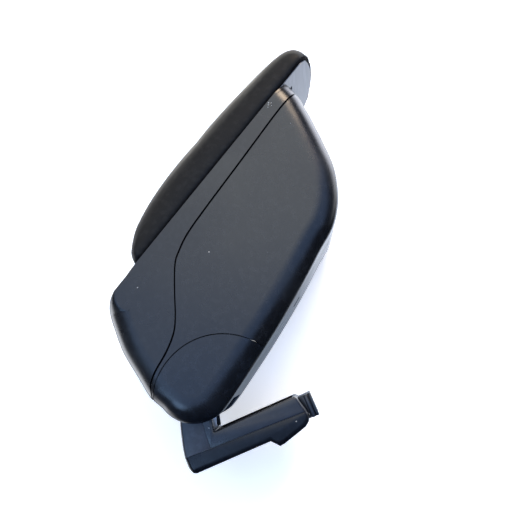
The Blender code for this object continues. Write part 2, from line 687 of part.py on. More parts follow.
def make_cushion(parent):
    bm = bmesh.new()
    loops = []
    steps = 14
    for x, height in pad_sections():
        half = max(pad_half_width(x), 6)
        ring = []
        for k in range(steps + 1):
            angle = math.pi * k / steps
            power = 0.42
            across = math.copysign(abs(math.cos(angle)) ** power, math.cos(angle))
            up = max(math.sin(angle), 0) ** 0.62
            ring.append(bm.verts.new((x, half * across, LID_BOTTOM + 1.5 + (height - 1.5) * up)))
        for k in range(5):
            across = -half + 2.5 + (2 * half - 5) * k / 4
            ring.append(bm.verts.new((x, across, LID_BOTTOM)))
        loops.append(ring)
    count = len(loops[0])
    for first, second in zip(loops, loops[1:]):
        for i in range(count):
            j = (i + 1) % count
            bm.faces.new((first[i], first[j], second[j], second[i]))
    bm.faces.new(loops[0])
    bm.faces.new(loops[-1])
    cushion = new_object("pad_cushion", bm)
    turn = PAD_TURN_IN - 0.4
    outline = plan_outline(LID_REAR + turn, LID_NOSE - turn, HALF_LID - turn, NOSE_CORNER - turn, NOSE_BOW,
                           rear_corner=PAD_REAR_CORNER - turn)
    cut(cushion, plan_prism("base_pocket", outline, LID_BOTTOM - 5, LID_BOTTOM + BASE_HEIGHT + 0.4))
    return finish(cushion, parent, VINYL, 0.55)


def foot_outline():
    """Side view of the foot and its riser, anticlockwise; also each corner's round."""
    lip = -LIP_DEPTH
    front = FOOT_FRONT
    lean = FOOT_FRONT_LEAN
    under = [(-49, 4.4), (-47.2, 1.4), (-44, 0), (41, 0), (44.8, lip / 2), (48.3, lip), (54.3, lip + 0.8),
             (front - 16, -2.6), (front - 8.3, -0.4), (front - 3.5, 3), (front - 0.9, 7.2), (front, 11),
             (front - lean * 0.16, 18), (front - lean * 0.5, 26), (front - lean * 0.7, 30),
             (front - lean, FOOT_TOP), (TRAY_REAR, FOOT_TOP), (-10.6, FOOT_TOP + 0.4),
             (-7, 47.8), (-2.6, RISER_TOP)]
    rear = smooth([(-35.5, RISER_TOP), (-39.4, 61), (-42.4, 53), (-44.6, 45), (-46.9, 36), (-48.9, 27),
                   (-50, SEAM_REAR + 0.6)], 2)
    below = [(-50.4, 14.4), (-50.2, 8.6)]
    outline = under + rear + below
    rounds = []
    for x, z in outline:
        if x > -12 and z > FOOT_TOP - 4:
            rounds.append(TRAY_EDGE_ROUND)
        elif z > SEAM_REAR:
            rounds.append(3.5)
        else:
            rounds.append(FOOT_EDGE_ROUND)
    return outline, rounds


def foot_solid(name, depth):
    outline, rounds = foot_outline()
    rounds = [max(edge - depth, 0.6) for edge in rounds]
    steps = OUTER_STEPS - 1 if depth <= 0 else INNER_STEPS
    return rounded_slab(name, inset(outline, depth) if depth else outline, HALF_FOOT - depth, rounds, steps)


def seam_height(x):
    return SEAM_REAR + (SEAM_FRONT - SEAM_REAR) * (x + 50) / (FOOT_FRONT + 50)


def seam_region(name, above, shift):
    """Everything above or below the sloping seam of the foot's casing."""
    left, right = -120, 160
    far = 150 if above else -60
    outline = [(left, seam_height(left) + shift), (right, seam_height(right) + shift), (right, far), (left, far)]
    return side_prism(name, outline, -60, 60)


def cap_region(name, shift):
    """Everything behind the parting line of the rear cap."""
    outline = [(-20.9 + shift, 0), (-19.3 + shift, 37.8), (-14, 95), (-120, 95), (-120, 0)]
    return side_prism(name, outline, -60, 60)


def riser_clearance(name):
    """Clears the eye of the bracket and opens the top of the riser."""
    inner = HALF_FOOT - FOOT_WALL
    mouth = block("riser_mouth", (-37 + FOOT_WALL, -4.2 - FOOT_WALL), (-inner, inner),
                  (RISER_TOP - FOOT_WALL - 6, RISER_TOP + 9))
    return join(mouth, rod(name, "Y", (PIVOT_X, PIVOT_Z), RISER_CUT, -60, 60, 40))


CASE_SCREWS = [(8, 8.5 - HALF_FOOT), (8, HALF_FOOT - 8.5),
               (FOOT_FRONT - 19.7, 10 - HALF_FOOT), (FOOT_FRONT - 19.7, HALF_FOOT - 10)]
BRACKET_BOLTS = [(-14, 0), (20, 0)]


def make_upper_case(parent):
    case = foot_solid("foot_upper_case", 0)
    cut(case, foot_solid("case_inside", FOOT_WALL))
    half = HALF_FOOT - 1
    floor = block("tray_floor", (TRAY_REAR - 1, FOOT_FRONT), (-half, half), (TRAY_FLOOR - 2, TRAY_FLOOR))
    wall = block("tray_back", (TRAY_REAR - 2.4, TRAY_REAR), (-half, half), (SEAM_FRONT + 5, FOOT_TOP))
    keep(floor, foot_solid("floor_limit", 1))
    keep(wall, foot_solid("wall_limit", 0.5))
    join(case, floor, wall)
    pocket_half = HALF_FOOT - FOOT_WALL
    pocket_front = FOOT_FRONT - FOOT_FRONT_LEAN - FOOT_WALL
    cut(case, plan_prism("tray_pocket", plan_outline(TRAY_REAR, pocket_front, pocket_half, 5),
                         TRAY_FLOOR, FOOT_TOP + 9))
    for x, y in CASE_SCREWS:
        join(case, rod("boss", "Z", (x, y), BOSS_RADIUS, seam_height(x) - 2, TRAY_FLOOR - 1, 16))
    keep(case, seam_region("above_case_seam", True, CLEARANCE / 2))
    cut(case, cap_region("cap_space", CLEARANCE))
    for x, y in CASE_SCREWS:
        cut(case, rod("boss_hole", "Z", (x, y), SCREW_RADIUS + CLEARANCE, 0, TRAY_FLOOR - 3, 12))
    cut(case, riser_clearance("eye_space"))
    return finish(case, parent, BLACK_PLASTIC, 0.4)


def make_rear_cap(parent):
    cap = foot_solid("foot_rear_cap", 0)
    cut(cap, foot_solid("cap_inside", FOOT_WALL))
    keep(cap, cap_region("cap_side", 0))
    keep(cap, seam_region("above_cap_seam", True, CLEARANCE / 2))
    cut(cap, riser_clearance("cap_eye_space"))
    return finish(cap, parent, SLATE_PLASTIC, 0.4)


def make_lower_case(parent):
    case = foot_solid("foot_lower_case", 0)
    cut(case, foot_solid("lower_inside", FOOT_WALL))
    for x, y in CASE_SCREWS:
        join(case, rod("lower_boss", "Z", (x, y), BOSS_RADIUS, boss_low(x), seam_height(x), 16))
    keep(case, seam_region("below_case_seam", False, -CLEARANCE / 2))
    for x, y in CASE_SCREWS:
        cut(case, rod("screw_way", "Z", (x, y), SCREW_RADIUS + CLEARANCE, -20, 30, 12))
        cut(case, rod("head_recess", "Z", (x, y), SCREW_HEAD_RADIUS + CLEARANCE, -20, head_seat(x), 16))
    for x, y in BRACKET_BOLTS:
        cut(case, rod("bolt_hole", "Z", (x, y), BOLT_RADIUS + CLEARANCE, -20, 10, 16))
    return finish(case, parent, BLACK_PLASTIC, 0.4)


def boss_low(x):
    """Height where a screw boss starts, inside the floor of the lower case."""
    return 1.0 if x < 40 else -2.0


def head_seat(x):
    """Height of the seat under a case screw's head."""
    return boss_low(x) + 2.6


def make_case_screws(parent):
    for number, (x, y) in enumerate(CASE_SCREWS, 1):
        seat = head_seat(x) - CLEARANCE
        screw = rod(f"foot_case_screw_{number}", "Z", (x, y), SCREW_HEAD_RADIUS, seat - SCREW_HEAD, seat, 16)
        join(screw, rod("shank", "Z", (x, y), SCREW_RADIUS, seat - 0.5, TRAY_FLOOR - 3.4, 12))
        finish(screw, parent, STEEL_GREY, 0.35, 1.0)


def make_bracket(parent):
    """Pressed steel channel: a foot plate with two ears that carry the shaft."""
    low = FOOT_WALL + CLEARANCE
    ear_outer = HALF_FOOT - FOOT_WALL - 0.6
    rear, front = -38, -14.5
    circle = arc((PIVOT_X, PIVOT_Z), EYE_RADIUS, -10, 190, 14)
    ear = [(rear, low), (front, low), (front, 33), (-10.8, 48), (-6.6, 64)] + circle + [(rear, 26)]
    bracket = side_prism("foot_bracket", ear, -ear_outer, ear_outer)
    bend = STEEL
    left = arc((-ear_outer + bend, low + bend), bend, 180, 270, 4)
    right = arc((ear_outer - bend, low + bend), bend, 270, 360, 4)
    section = [(ear_outer, 140), (-ear_outer, 140)] + left + right
    keep(bracket, extrude_face("bends", [(rear - 5, y, z) for y, z in section], (60, 0, 0)))
    gap = ear_outer - STEEL
    space = [(-90, low + STEEL), (60, low + STEEL), (60, 140), (-90, 140)]
    cut(bracket, side_prism("between_ears", space, -gap, gap))
    toe = block("toe", (rear, 34), (-14, 14), (low, low + STEEL))
    join(bracket, toe)
    cut(bracket, rod("eye", "Y", (PIVOT_X, PIVOT_Z), SHAFT_RADIUS + CLEARANCE, -50, 50))
    for x, y in BRACKET_BOLTS:
        cut(bracket, rod("toe_hole", "Z", (x, y), BOLT_RADIUS + CLEARANCE, -5, 20, 16))
    return finish(bracket, parent, STEEL_GREY, 0.4, 1.0)


def make_bolts(parent):
    for number, (x, y) in enumerate(BRACKET_BOLTS, 1):
        seat = FOOT_WALL + 2 * CLEARANCE + STEEL
        bolt = rod(f"bracket_bolt_{number}", "Z", (x, y), 5.6, seat, seat + 4, 6)
        join(bolt, rod("bolt_shank", "Z", (x, y), BOLT_RADIUS, 0.3, seat + 1, 16))
        finish(bolt, parent, STEEL_GREY, 0.3, 1.0)


def make_hook(parent):
    """Plug-in tongue on the front of the foot: a neck and two ribs."""
    start = FOOT_FRONT - FOOT_FRONT_LEAN
    half = HOOK_HALF_WIDTH
    neck = half - HOOK_NECK_INSET
    first = FOOT_FRONT + CLEARANCE + HOOK_RIB_GAP
    second = HOOK_REACH - HOOK_RIB + 1
    right = [(start, -neck), (first, -neck), (first, -half), (first + HOOK_RIB, -half),
             (first + HOOK_RIB, -half + 2.5), (second, -half + 2.5), (second, -half), (HOOK_REACH, -half)]
    left = [(x, -y) for x, y in right[::-1]]
    hook = plan_prism("console_hook", right + left, HOOK_LOW, HOOK_HIGH)
    soften(hook, 0.7, 2)
    cut(hook, foot_solid("foot_front_side", -CLEARANCE))
    return finish(hook, parent, BLACK_PLASTIC, 0.35)


def make_shaft(parent):
    """Headed shaft through the ears, bushes and cheeks, with a nut on its other end."""
    end = WELL_HALF_WIDTH + CHEEK_WALL
    head_low = end + 3.4
    place = (PIVOT_X, PIVOT_Z)
    shaft = rod("pivot_shaft", "Y", place, SHAFT_RADIUS, -head_low - 1, end + 13)
    join(shaft, rod("shaft_head", "Y", place, 8.0, -head_low - 5, -head_low))
    finish(shaft, parent, STEEL_GREY, 0.3, 1.0)
    nut = rod("pivot_nut", "Y", place, 8.6, end + 3.4, end + 10, 6)
    cut(nut, rod("nut_hole", "Y", place, SHAFT_RADIUS + 0.1, 0, 90))
    finish(nut, parent, STEEL_GREY, 0.35, 1.0)
    for side, name in ((-1, "spring_washer_right"), (1, "spring_washer_left")):
        low, high = sorted((side * (end + 0.5), side * (end + 3.0)))
        washer = rod(name, "Y", place, 9.0, low, high)
        cut(washer, rod("washer_hole", "Y", place, SHAFT_RADIUS + 0.3, -90, 90))
        finish(washer, parent, STEEL_GREY, 0.4, 1.0)
    ear_face = HALF_FOOT - FOOT_WALL - 0.6
    for side, name in ((-1, "pivot_bush_right"), (1, "pivot_bush_left")):
        low, high = sorted((side * (ear_face + CLEARANCE), side * (ear_face + 3.1)))
        bush = rod(name, "Y", place, BUSH_RADIUS, low, high)
        cut(bush, rod("bush_hole", "Y", place, SHAFT_RADIUS + CLEARANCE, -90, 90))
        finish(bush, parent, (0.6, 0.58, 0.5), 0.5)


def make_box_bracket(parent):
    """Pressed steel yoke that carries the box on the shaft, set against the well's front wall."""
    outer = WELL_HALF_WIDTH - CLEARANCE
    gap = outer - 2.5
    web_front = WELL_FRONT - CLEARANCE
    profile = [(web_front, -17), (web_front, 17)] + arc((0, 0), EYE_RADIUS, 80, 280, 14)
    yoke = side_prism("box_bracket", profile, -outer, outer)
    cut(yoke, block("yoke_gap", (-60, web_front - STEEL), (-gap, gap), (-50, 50)))
    cut(yoke, rod("yoke_eye", "Y", (0, 0), SHAFT_RADIUS + CLEARANCE, -90, 90))
    return finish(yoke, parent, STEEL_GREY, 0.4, 1.0)


def build():
    clear_scene()
    foot = axis_empty("foot_frame", None, 0, 0)
    fold = axis_empty("box_fold_axis", foot, PIVOT_X, PIVOT_Z, BOX_TILT)
    lid_hinge = axis_empty("lid_hinge_axis", fold, HINGE_X, HINGE_Z)
    lid = axis_empty("lid_frame", lid_hinge, -HINGE_X, -HINGE_Z)
    make_lower_case(foot)
    make_upper_case(foot)
    make_rear_cap(foot)
    make_hook(foot)
    make_bracket(foot)
    make_bolts(foot)
    make_case_screws(foot)
    make_shaft(foot)
    make_shell(fold)
    make_collar(fold)
    make_covers(fold)
    make_panel(fold)
    make_bin(fold)
    make_buffers(fold)
    make_box_bracket(fold)
    make_hinge_pin(fold)
    make_carrier(lid)
    make_strips(lid)
    make_pad_base(lid)
    make_cushion(lid)


build()
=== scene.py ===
import math

import bmesh
import bpy
from mathutils import Matrix, Vector
from mathutils.bvhtree import BVHTree
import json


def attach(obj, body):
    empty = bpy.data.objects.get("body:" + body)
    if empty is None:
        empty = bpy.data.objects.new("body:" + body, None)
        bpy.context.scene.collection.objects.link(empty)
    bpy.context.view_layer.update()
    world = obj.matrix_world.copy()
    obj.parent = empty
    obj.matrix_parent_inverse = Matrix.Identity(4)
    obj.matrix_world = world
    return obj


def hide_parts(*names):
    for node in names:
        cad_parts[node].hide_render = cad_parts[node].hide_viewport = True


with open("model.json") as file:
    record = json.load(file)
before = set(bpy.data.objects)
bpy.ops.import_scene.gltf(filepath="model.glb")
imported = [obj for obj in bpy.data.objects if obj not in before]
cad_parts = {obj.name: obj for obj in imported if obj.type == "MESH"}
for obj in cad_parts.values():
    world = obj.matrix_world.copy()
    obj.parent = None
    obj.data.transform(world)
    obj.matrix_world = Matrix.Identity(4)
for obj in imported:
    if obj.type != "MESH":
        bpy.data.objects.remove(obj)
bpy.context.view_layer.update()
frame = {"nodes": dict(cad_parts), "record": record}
nodes = frame["nodes"]


# The box's lower shell: a deep injection moulding in black plastic with a spark-eroded grain.
# Its edges are fully rounded, a well at the rear takes the foot's riser, and it is drawn here in
# millimetres, upright, round its pivot, before it is tilted into its place.
BOX_TILT = math.radians(28.56)
PIVOT = Vector((-0.010, 0, 0.0881))
IN_BOX = Matrix.Translation(PIVOT) @ Matrix.Rotation(-BOX_TILT, 4, "Y") @ Matrix.Scale(0.001, 4)
HALF_BOX = 68.0
BOX_REACH = 324.0
RIM = 123.3
WALL = 2.5
EDGE_ROUND = 18.0
EDGE_SPREAD = 1.45
RIM_ROUND = 2.0
ROUND_RADIUS = 41.5
GAP = 0.3
WELL_HALF = 31.2
WELL_RADIUS = 46.5
WELL_FRONT = 40.0
COVER_RADIUS = 72.3
COVER_CENTRE = (4.5, -41.5)
PANEL_HALF = 50.0
PANEL_REAR = -14.0
PANEL_FRONT = 214.0
SEAM_GROOVE = 0.85
GROOVE_DEPTH = 1.9
SHAFT_HOLE = 5.3
WELL_MOUTH = ((-80, -20), (-WELL_HALF, WELL_HALF), (-80, 37))


def smooth_line(points, steps):
    """A curve through the points (Catmull-Rom)."""
    line = []
    last = len(points) - 1
    for i in range(last):
        a, b, c, d = (Vector(points[min(max(i + k, 0), last)]) for k in (-1, 0, 1, 2))
        for k in range(steps):
            t = k / steps
            line.append(tuple(0.5 * (2 * b + (c - a) * t + (2 * a - 5 * b + 4 * c - d) * t * t
                                     + (3 * b - a - 3 * c + d) * t ** 3)))
    return line + [tuple(points[last])]


def arc(centre, radius, start, end, steps):
    turns = [math.radians(start + (end - start) * k / steps) for k in range(steps + 1)]
    return [(centre[0] + radius * math.cos(t), centre[1] + radius * math.sin(t)) for t in turns]


def outward(outline):
    """Outward normal at each corner of an anticlockwise outline."""
    normals = []
    for i in range(len(outline)):
        before = Vector(outline[i]) - Vector(outline[i - 1])
        after = Vector(outline[(i + 1) % len(outline)]) - Vector(outline[i])
        n1 = Vector((before.y, -before.x)).normalized()
        n2 = Vector((after.y, -after.x)).normalized()
        middle = (n1 + n2).normalized()
        normals.append(middle / max(middle.dot(n1), 0.5))
    return normals


def inset(outline, distance):
    return [(p[0] - n.x * distance, p[1] - n.y * distance) for p, n in zip(outline, outward(outline))]


def mesh_object(name, bm):
    mesh = bpy.data.meshes.new(name)
    bm.to_mesh(mesh)
    bm.free()
    piece = bpy.data.objects.new(name, mesh)
    bpy.context.scene.collection.objects.link(piece)
    return piece


def loft(name, outline, half_width, rounds, steps, passes):
    """A moulding with full edge rounds: the outline swept across Y and drawn in at both sides.

    Large rounds reach further in over the side than they reach round the edge. The directions in
    which the outline is drawn in are evened out, so that it doesn't fold over itself."""
    normals = [normal.normalized() for normal in outward(outline)]
    for repeat in range(passes):
        normals = [(normals[i - 1] + 2 * normal + normals[(i + 1) % len(normals)]).normalized()
                   for i, normal in enumerate(normals)]
    rings = []
    for side in (-1, 1):
        order = range(-1, steps + 1) if side < 0 else range(steps, -2, -1)
        for k in order:
            turn = math.pi / 2 * (1 - max(k, 0) / steps)
            flat = 1.0 if k < 0 else 0.0
            ring = []
            for p, n, edge in zip(outline, normals, rounds):
                spread = 1 + (EDGE_SPREAD - 1) * min(edge / EDGE_ROUND, 1)
                inward = edge * spread * (1 - math.cos(turn)) + flat
                ring.append((p[0] - n.x * inward, side * (half_width - edge * (1 - math.sin(turn))),
                             p[1] - n.y * inward))
            rings.append(ring)
    bm = bmesh.new()
    loops = [[bm.verts.new(corner) for corner in ring] for ring in rings]
    for first, second in zip(loops, loops[1:]):
        for i in range(len(first)):
            j = (i + 1) % len(first)
            bm.faces.new((first[i], first[j], second[j], second[i]))
    bm.faces.new(loops[0])
    bm.faces.new(loops[-1])
    bmesh.ops.recalc_face_normals(bm, faces=bm.faces)
    return mesh_object(name, bm)


def prism(corners, reach):
    """A flat face pushed along a direction."""
    bm = bmesh.new()
    face = bm.faces.new([bm.verts.new(corner) for corner in corners])
    grown = bmesh.ops.extrude_face_region(bm, geom=[face])
    moved = [part for part in grown["geom"] if isinstance(part, bmesh.types.BMVert)]
    bmesh.ops.translate(bm, verts=moved, vec=reach)
    bmesh.ops.recalc_face_normals(bm, faces=bm.faces)
    return mesh_object("form", bm)


def across(outline, low, high):
    """An outline in X and Z carried across Y."""
    return prism([(x, low, z) for x, z in outline], (0, high - low, 0))


def upward(outline, low, high):
    """An outline in X and Y carried up."""
    return prism([(x, y, low) for x, y in outline], (0, 0, high - low))


def block(x, y, z):
    return upward([(x[0], y[0]), (x[1], y[0]), (x[1], y[1]), (x[0], y[1])], *z)


def turned(axis, place, radius, low, high, sides=48):
    """A round bar along Y or Z."""
    outline = arc(place, radius, 0, 360 - 360 / sides, sides - 1)
    return across(outline, low, high) if axis == "Y" else upward(outline, low, high)


def settle(piece):
    """Turn what the modifiers give into the piece's own mesh."""
    graph = bpy.context.evaluated_depsgraph_get()
    mesh = bpy.data.meshes.new_from_object(piece.evaluated_get(graph))
    piece.modifiers.clear()
    piece.data = mesh
    return piece


def carve(piece, operation, *tools):
    for tool in tools:
        modifier = piece.modifiers.new("carve", "BOOLEAN")
        modifier.operation = operation
        modifier.object = tool
        settle(piece)
        bpy.data.objects.remove(tool, do_unlink=True)
    return piece


def cut(piece, *tools):
    return carve(piece, "DIFFERENCE", *tools)


def keep(piece, *tools):
    return carve(piece, "INTERSECT", *tools)


def join(piece, *tools):
    return carve(piece, "UNION", *tools)


def box_outline(fine):
    """Side view of the box, anticlockwise from under the pivot; also each corner's round."""
    front = [(-129, -145.6), (-103, -141.6), (-81.4, -132.1), (-65, -120.1), (-47.3, -101.7), (-33.5, -79.1),
             (-18, -50.1), (-9.5, -32.1), (-4.5, -21.1), (-1.5, -8), (0, 4), (0.5, 66)]
    low = -ROUND_RADIUS - 2.0
    under = [(12, low), (50.4, low + 2.5), (90.7, low + 6.1), (131, low + 10.8), (165.7, low + 15.9)]
    rear = [(-38.2, 22.2), (-36, 30.8), (-31, 45.6), (-22, 74), (-13.5, 91.2)]
    deck = [(-2.5, -13.3), (1.8, -8), (7.7, -4), (14, -1.4), (21, -0.4), (33, -0.1), (48, 0),
            (62, 2.5), (80, 8), (110, 60)]
    right = smooth_line(under + [(BOX_REACH + dx, RIM + dz) for dx, dz in front], fine)
    left = smooth_line([(x, RIM + dz) for x, dz in deck[::-1]] + rear[::-1], fine)
    outline = right + left + arc((2.5, -2.5), ROUND_RADIUS, 168, 262, 6 * fine)
    rounds = []
    for x, z in outline:
        share = 1.0 if x > 150 or z < RIM - 14 else min(max((24 - x) / 24, 0), 1)
        share *= min(max((RIM + 40 - z) / 20, 0), 1)
        rounds.append(RIM_ROUND + (EDGE_ROUND - RIM_ROUND) * share)
    return outline, rounds


def box_form(depth, top=RIM, fine=2, steps=3):
    """The box's outer form, sunk by a depth and cut off at a height."""
    outline, rounds = box_outline(fine)
    form = loft("form", inset(outline, depth), HALF_BOX - depth, [max(r - depth, 0.8) for r in rounds], steps,
                3 * fine * fine // 4)
    return cut(form, block((-100, BOX_REACH + 100), (-90, 90), (top, RIM + 90)))


def fine_box_form(depth=0.0):
    return box_form(depth, RIM, 4, 10)


def above_seam(shift, low=-90, high=90):
    """Everything above the S-shaped seam between collar and shell."""
    seam = [(-70, 16), (-46, 17), (-37.5, 19.6), (-31.8, 24.4), (-25, 29.6), (-11.4, 33.8), (10.6, 37.4),
            (30, 43.6), (44.8, 53.5), (65, 71.5), (86.6, 88.9), (101, 94.9), (122, 99.6),
            (160, 102), (220, 104.4), (275, 106.9), (300, 107.4), (364, 107.4)]
    line = [(x, z + shift) for x, z in smooth_line(seam, 6)]
    return across(line + [(364, RIM + 60), (-70, RIM + 60)], low, high)


def well_outline(radius, front):
    top = math.degrees(math.acos(min(front / radius, 1)))
    return [(front, -80)] + arc((0, 0), radius, top, 200, 28) + [(-80, -20), (-80, -80)]


def skin(depth):
    """A thin layer just under the box's surface, where the seams' grooves are cut."""
    return cut(box_form(-3, RIM + 4), box_form(depth, RIM + 30))


def side_spans(low, high):
    """The same stretch of Y on the right and on the left."""
    return ((-high, -low), (low, high))


def seat_in(piece, place, sharp=32):
    """Bring a piece drawn in millimetres to its place, and shade its rounds smooth."""
    piece.data.transform(place)
    piece.data.shade_smooth()
    piece.data.set_sharp_from_angle(angle=math.radians(sharp))
    return piece


shell = fine_box_form()
shell.name = "shell_moulding"
cut(shell, box_form(WALL, RIM + 30))
bulkhead = turned("Y", COVER_CENTRE, COVER_RADIUS + GAP + WALL, -HALF_BOX + 1, HALF_BOX - 1, 96)
cut(bulkhead, turned("Y", COVER_CENTRE, COVER_RADIUS + GAP, -80, 80, 96))
keep(bulkhead, box_form(1.0))
drum = across(well_outline(WELL_RADIUS + WALL, WELL_FRONT + WALL), -WELL_HALF - WALL, WELL_HALF + WALL)
keep(drum, box_form(WALL + GAP))
join(shell, bulkhead, drum)
cut(shell, across(well_outline(WELL_RADIUS, WELL_FRONT), -WELL_HALF, WELL_HALF))
for low, high in side_spans(WELL_HALF + WALL, 80):
    cut(shell, turned("Y", COVER_CENTRE, COVER_RADIUS + GAP, low, high, 128))
cut(shell, above_seam(-GAP))
cut(shell, keep(skin(GROOVE_DEPTH), above_seam(-GAP - SEAM_GROOVE)))
panel_space = block((PANEL_REAR - 40, PANEL_FRONT + GAP), (-PANEL_HALF - GAP, PANEL_HALF + GAP), (-80, -5))
keep(panel_space, box_form(-5))
cut(shell, cut(panel_space, box_form(WALL + 0.1)))
cut(shell, turned("Y", (0, 0), SHAFT_HOLE, -50, 50))
cut(shell, block(*WELL_MOUTH))
seat_in(shell, IN_BOX)


DUST = (0.22, 0.23, 0.25)
RUB_MARK = (0.34, 0.34, 0.32)
MOTTLE_LIFT = 1.5


def plastic(name, colour, rough, grain_mm=0.55, grain=0.16, wear=0.0, tint=(0.05, 0.056, 0.07),
            gloss=0.5, marks=(), stretch=(1, 1, 1)):
    """Moulded plastic: fine pebble grain, slow changes of gloss, faint dust and short rub marks."""
    material = bpy.data.materials.new(name)
    material.use_nodes = True
    tree = material.node_tree
    shader = tree.nodes["Principled BSDF"]
    place = tree.nodes.new("ShaderNodeTexCoord").outputs["Object"]
    drawn = tree.nodes.new("ShaderNodeMapping")
    drawn.inputs["Scale"].default_value = stretch
    tree.links.new(place, drawn.inputs["Vector"])

    def texture(kind, scale, **values):
        node = tree.nodes.new(kind)
        node.inputs["Scale"].default_value = scale
        for key, value in values.items():
            node.inputs[key].default_value = value
        tree.links.new(drawn.outputs["Vector"], node.inputs["Vector"])
        return node

    def ramp(source, low, high, dark, light):
        node = tree.nodes.new("ShaderNodeMapRange")
        node.interpolation_type = "SMOOTHSTEP"
        for key, value in zip(("From Min", "From Max", "To Min", "To Max"), (low, high, dark, light)):
            node.inputs[key].default_value = value
        tree.links.new(source, node.inputs["Value"])
        return node.outputs["Result"]

    def blend(factor, first, second):
        node = tree.nodes.new("ShaderNodeMix")
        node.data_type = "RGBA"
        tree.links.new(factor, node.inputs["Factor"])
        for socket, value in (("A", first), ("B", second)):
            if isinstance(value, tuple):
                node.inputs[socket].default_value = (*value, 1)
            else:
                tree.links.new(value, node.inputs[socket])
        return node.outputs["Result"]

    cloud = texture("ShaderNodeTexNoise", 14, Detail=3, Roughness=0.55)
    pebbles = texture("ShaderNodeTexVoronoi", 1000 / grain_mm, Randomness=1.0)
    fine = texture("ShaderNodeTexNoise", 2200 / grain_mm, Detail=2)
    colour_out = blend(ramp(cloud.outputs["Fac"], 0.35, 0.68, 0, 0.55), colour, tint)
    mottle = texture("ShaderNodeTexNoise", 160, Detail=2)
    lifted = tuple(MOTTLE_LIFT * channel for channel in tint)
    colour_out = blend(ramp(mottle.outputs["Fac"], 0.45, 0.7, 0, 0.5), colour_out, lifted)
    for x, y, z, radius in marks:
        spot = tree.nodes.new("ShaderNodeVectorMath")
        spot.operation = "DISTANCE"
        spot.inputs[1].default_value = (x / 1000, y / 1000, z / 1000)
        tree.links.new(place, spot.inputs[0])
        inside = ramp(spot.outputs["Value"], radius * 0.0005, radius * 0.001, 1, 0)
        colour_out = blend(inside, colour_out, RUB_MARK)
    if wear:
        specks = texture("ShaderNodeTexVoronoi", 78, Randomness=1.0)
        speck = ramp(specks.outputs["Distance"], 0.0, 0.045, 1, 0)
        rare = ramp(texture("ShaderNodeTexNoise", 31, Detail=1).outputs["Fac"], 0.66, 0.7, 0, 1)
        both = tree.nodes.new("ShaderNodeMath")
        both.operation = "MULTIPLY"
        tree.links.new(speck, both.inputs[0])
        tree.links.new(rare, both.inputs[1])
        colour_out = blend(both.outputs["Value"], colour_out, DUST)
    tree.links.new(colour_out, shader.inputs["Base Color"])
    roughness = ramp(cloud.outputs["Fac"], 0.3, 0.7, rough - 0.05, rough + 0.06)
    tree.links.new(roughness, shader.inputs["Roughness"])
    shader.inputs["IOR"].default_value = 1.5
    shader.inputs["Specular IOR Level"].default_value = gloss
    height = tree.nodes.new("ShaderNodeMath")
    height.operation = "ADD"
    tree.links.new(pebbles.outputs["Distance"], height.inputs[0])
    tree.links.new(fine.outputs["Fac"], height.inputs[1])
    bump = tree.nodes.new("ShaderNodeBump")
    bump.inputs["Strength"].default_value = grain
    bump.inputs["Distance"].default_value = 0.0001
    tree.links.new(height.outputs["Value"], bump.inputs["Height"])
    tree.links.new(bump.outputs["Normal"], shader.inputs["Normal"])
    return material


# A dark matt material, painted on the faces down in the seams as the shade that falls there.
gap_shade_paint = plastic("seam_gap_painted_shade", (0.003, 0.003, 0.004), 0.85, tint=(0.004, 0.004, 0.005), gloss=0.0)
GAP_STARTS = 0.00035
GAP_ENDS = (WALL - 0.2) * 0.001


def paint_gap_shade(piece):
    """Painted shade: the faces down inside a seam, between the outer skin and the wall's inner side, lie in
    shadow and get a dark matt material.
    """
    piece.data.materials.append(gap_shade_paint)
    outer = fine_box_form()
    outer.data.transform(IN_BOX)
    outer_skin = BVHTree.FromPolygons([corner.co.copy() for corner in outer.data.vertices],
                                      [tuple(face.vertices) for face in outer.data.polygons])
    bpy.data.objects.remove(outer, do_unlink=True)
    for face in piece.data.polygons:
        depth = outer_skin.find_nearest(face.center)[3]
        if GAP_STARTS < depth < GAP_ENDS:
            face.material_index = 1


replaced = set()


def dress(piece, material, body, slot, *stands_for, gaps=False):
    """Give a finished piece its material and hang it on its body."""
    piece.data.materials.clear()
    piece.data.materials.append(material)
    if gaps:
        paint_gap_shade(piece)
    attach(piece, body)
    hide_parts(*stands_for)
    replaced.update(stands_for)


# Rub marks: the place of each on the object, and its radius, in millimetres.
shell_marks = ((61.7, -68, 204.6, 1.0), (198.0, -67.9, 300.5, 0.5), (140.0, -68, 150.0, 0.5))
shell_black = plastic("shell_grained_black", (0.0075, 0.0085, 0.0105), 0.25, wear=1.0,
                      tint=(0.012, 0.0135, 0.0155), marks=shell_marks)
# The faces down in the shell's seams and groove are painted with dark shade.
dress(shell, shell_black, "box", "black_plastic", "lower_shell", gaps=True)


# The collar: the upper moulding, which carries the rim, the ledge that the bin hangs on and the
# lid's hinge lug. Its lower edge is stepped back, so that the seam reads as a dark shadow gap; the faces down
# in the gap are also painted with dark shade.
LEDGE_TOP = RIM - 6.7
RIM_WIDTH = 8.5
LEDGE_WIDTH = 4.0
OPENING_REAR = 58.0
REBATE_REAR = 50.0
HINGE = (17.0, 115.1)
KNUCKLE = 4.0
PIN_RADIUS = 1.6
NOTCH_HALF = 42.0
LUG_HALF = 12.0
KNUCKLE_GAP = 0.8
OPENING_CORNER = 14.0
SEAT_HALF = 52.0
SEAT_HEIGHT = 18.0


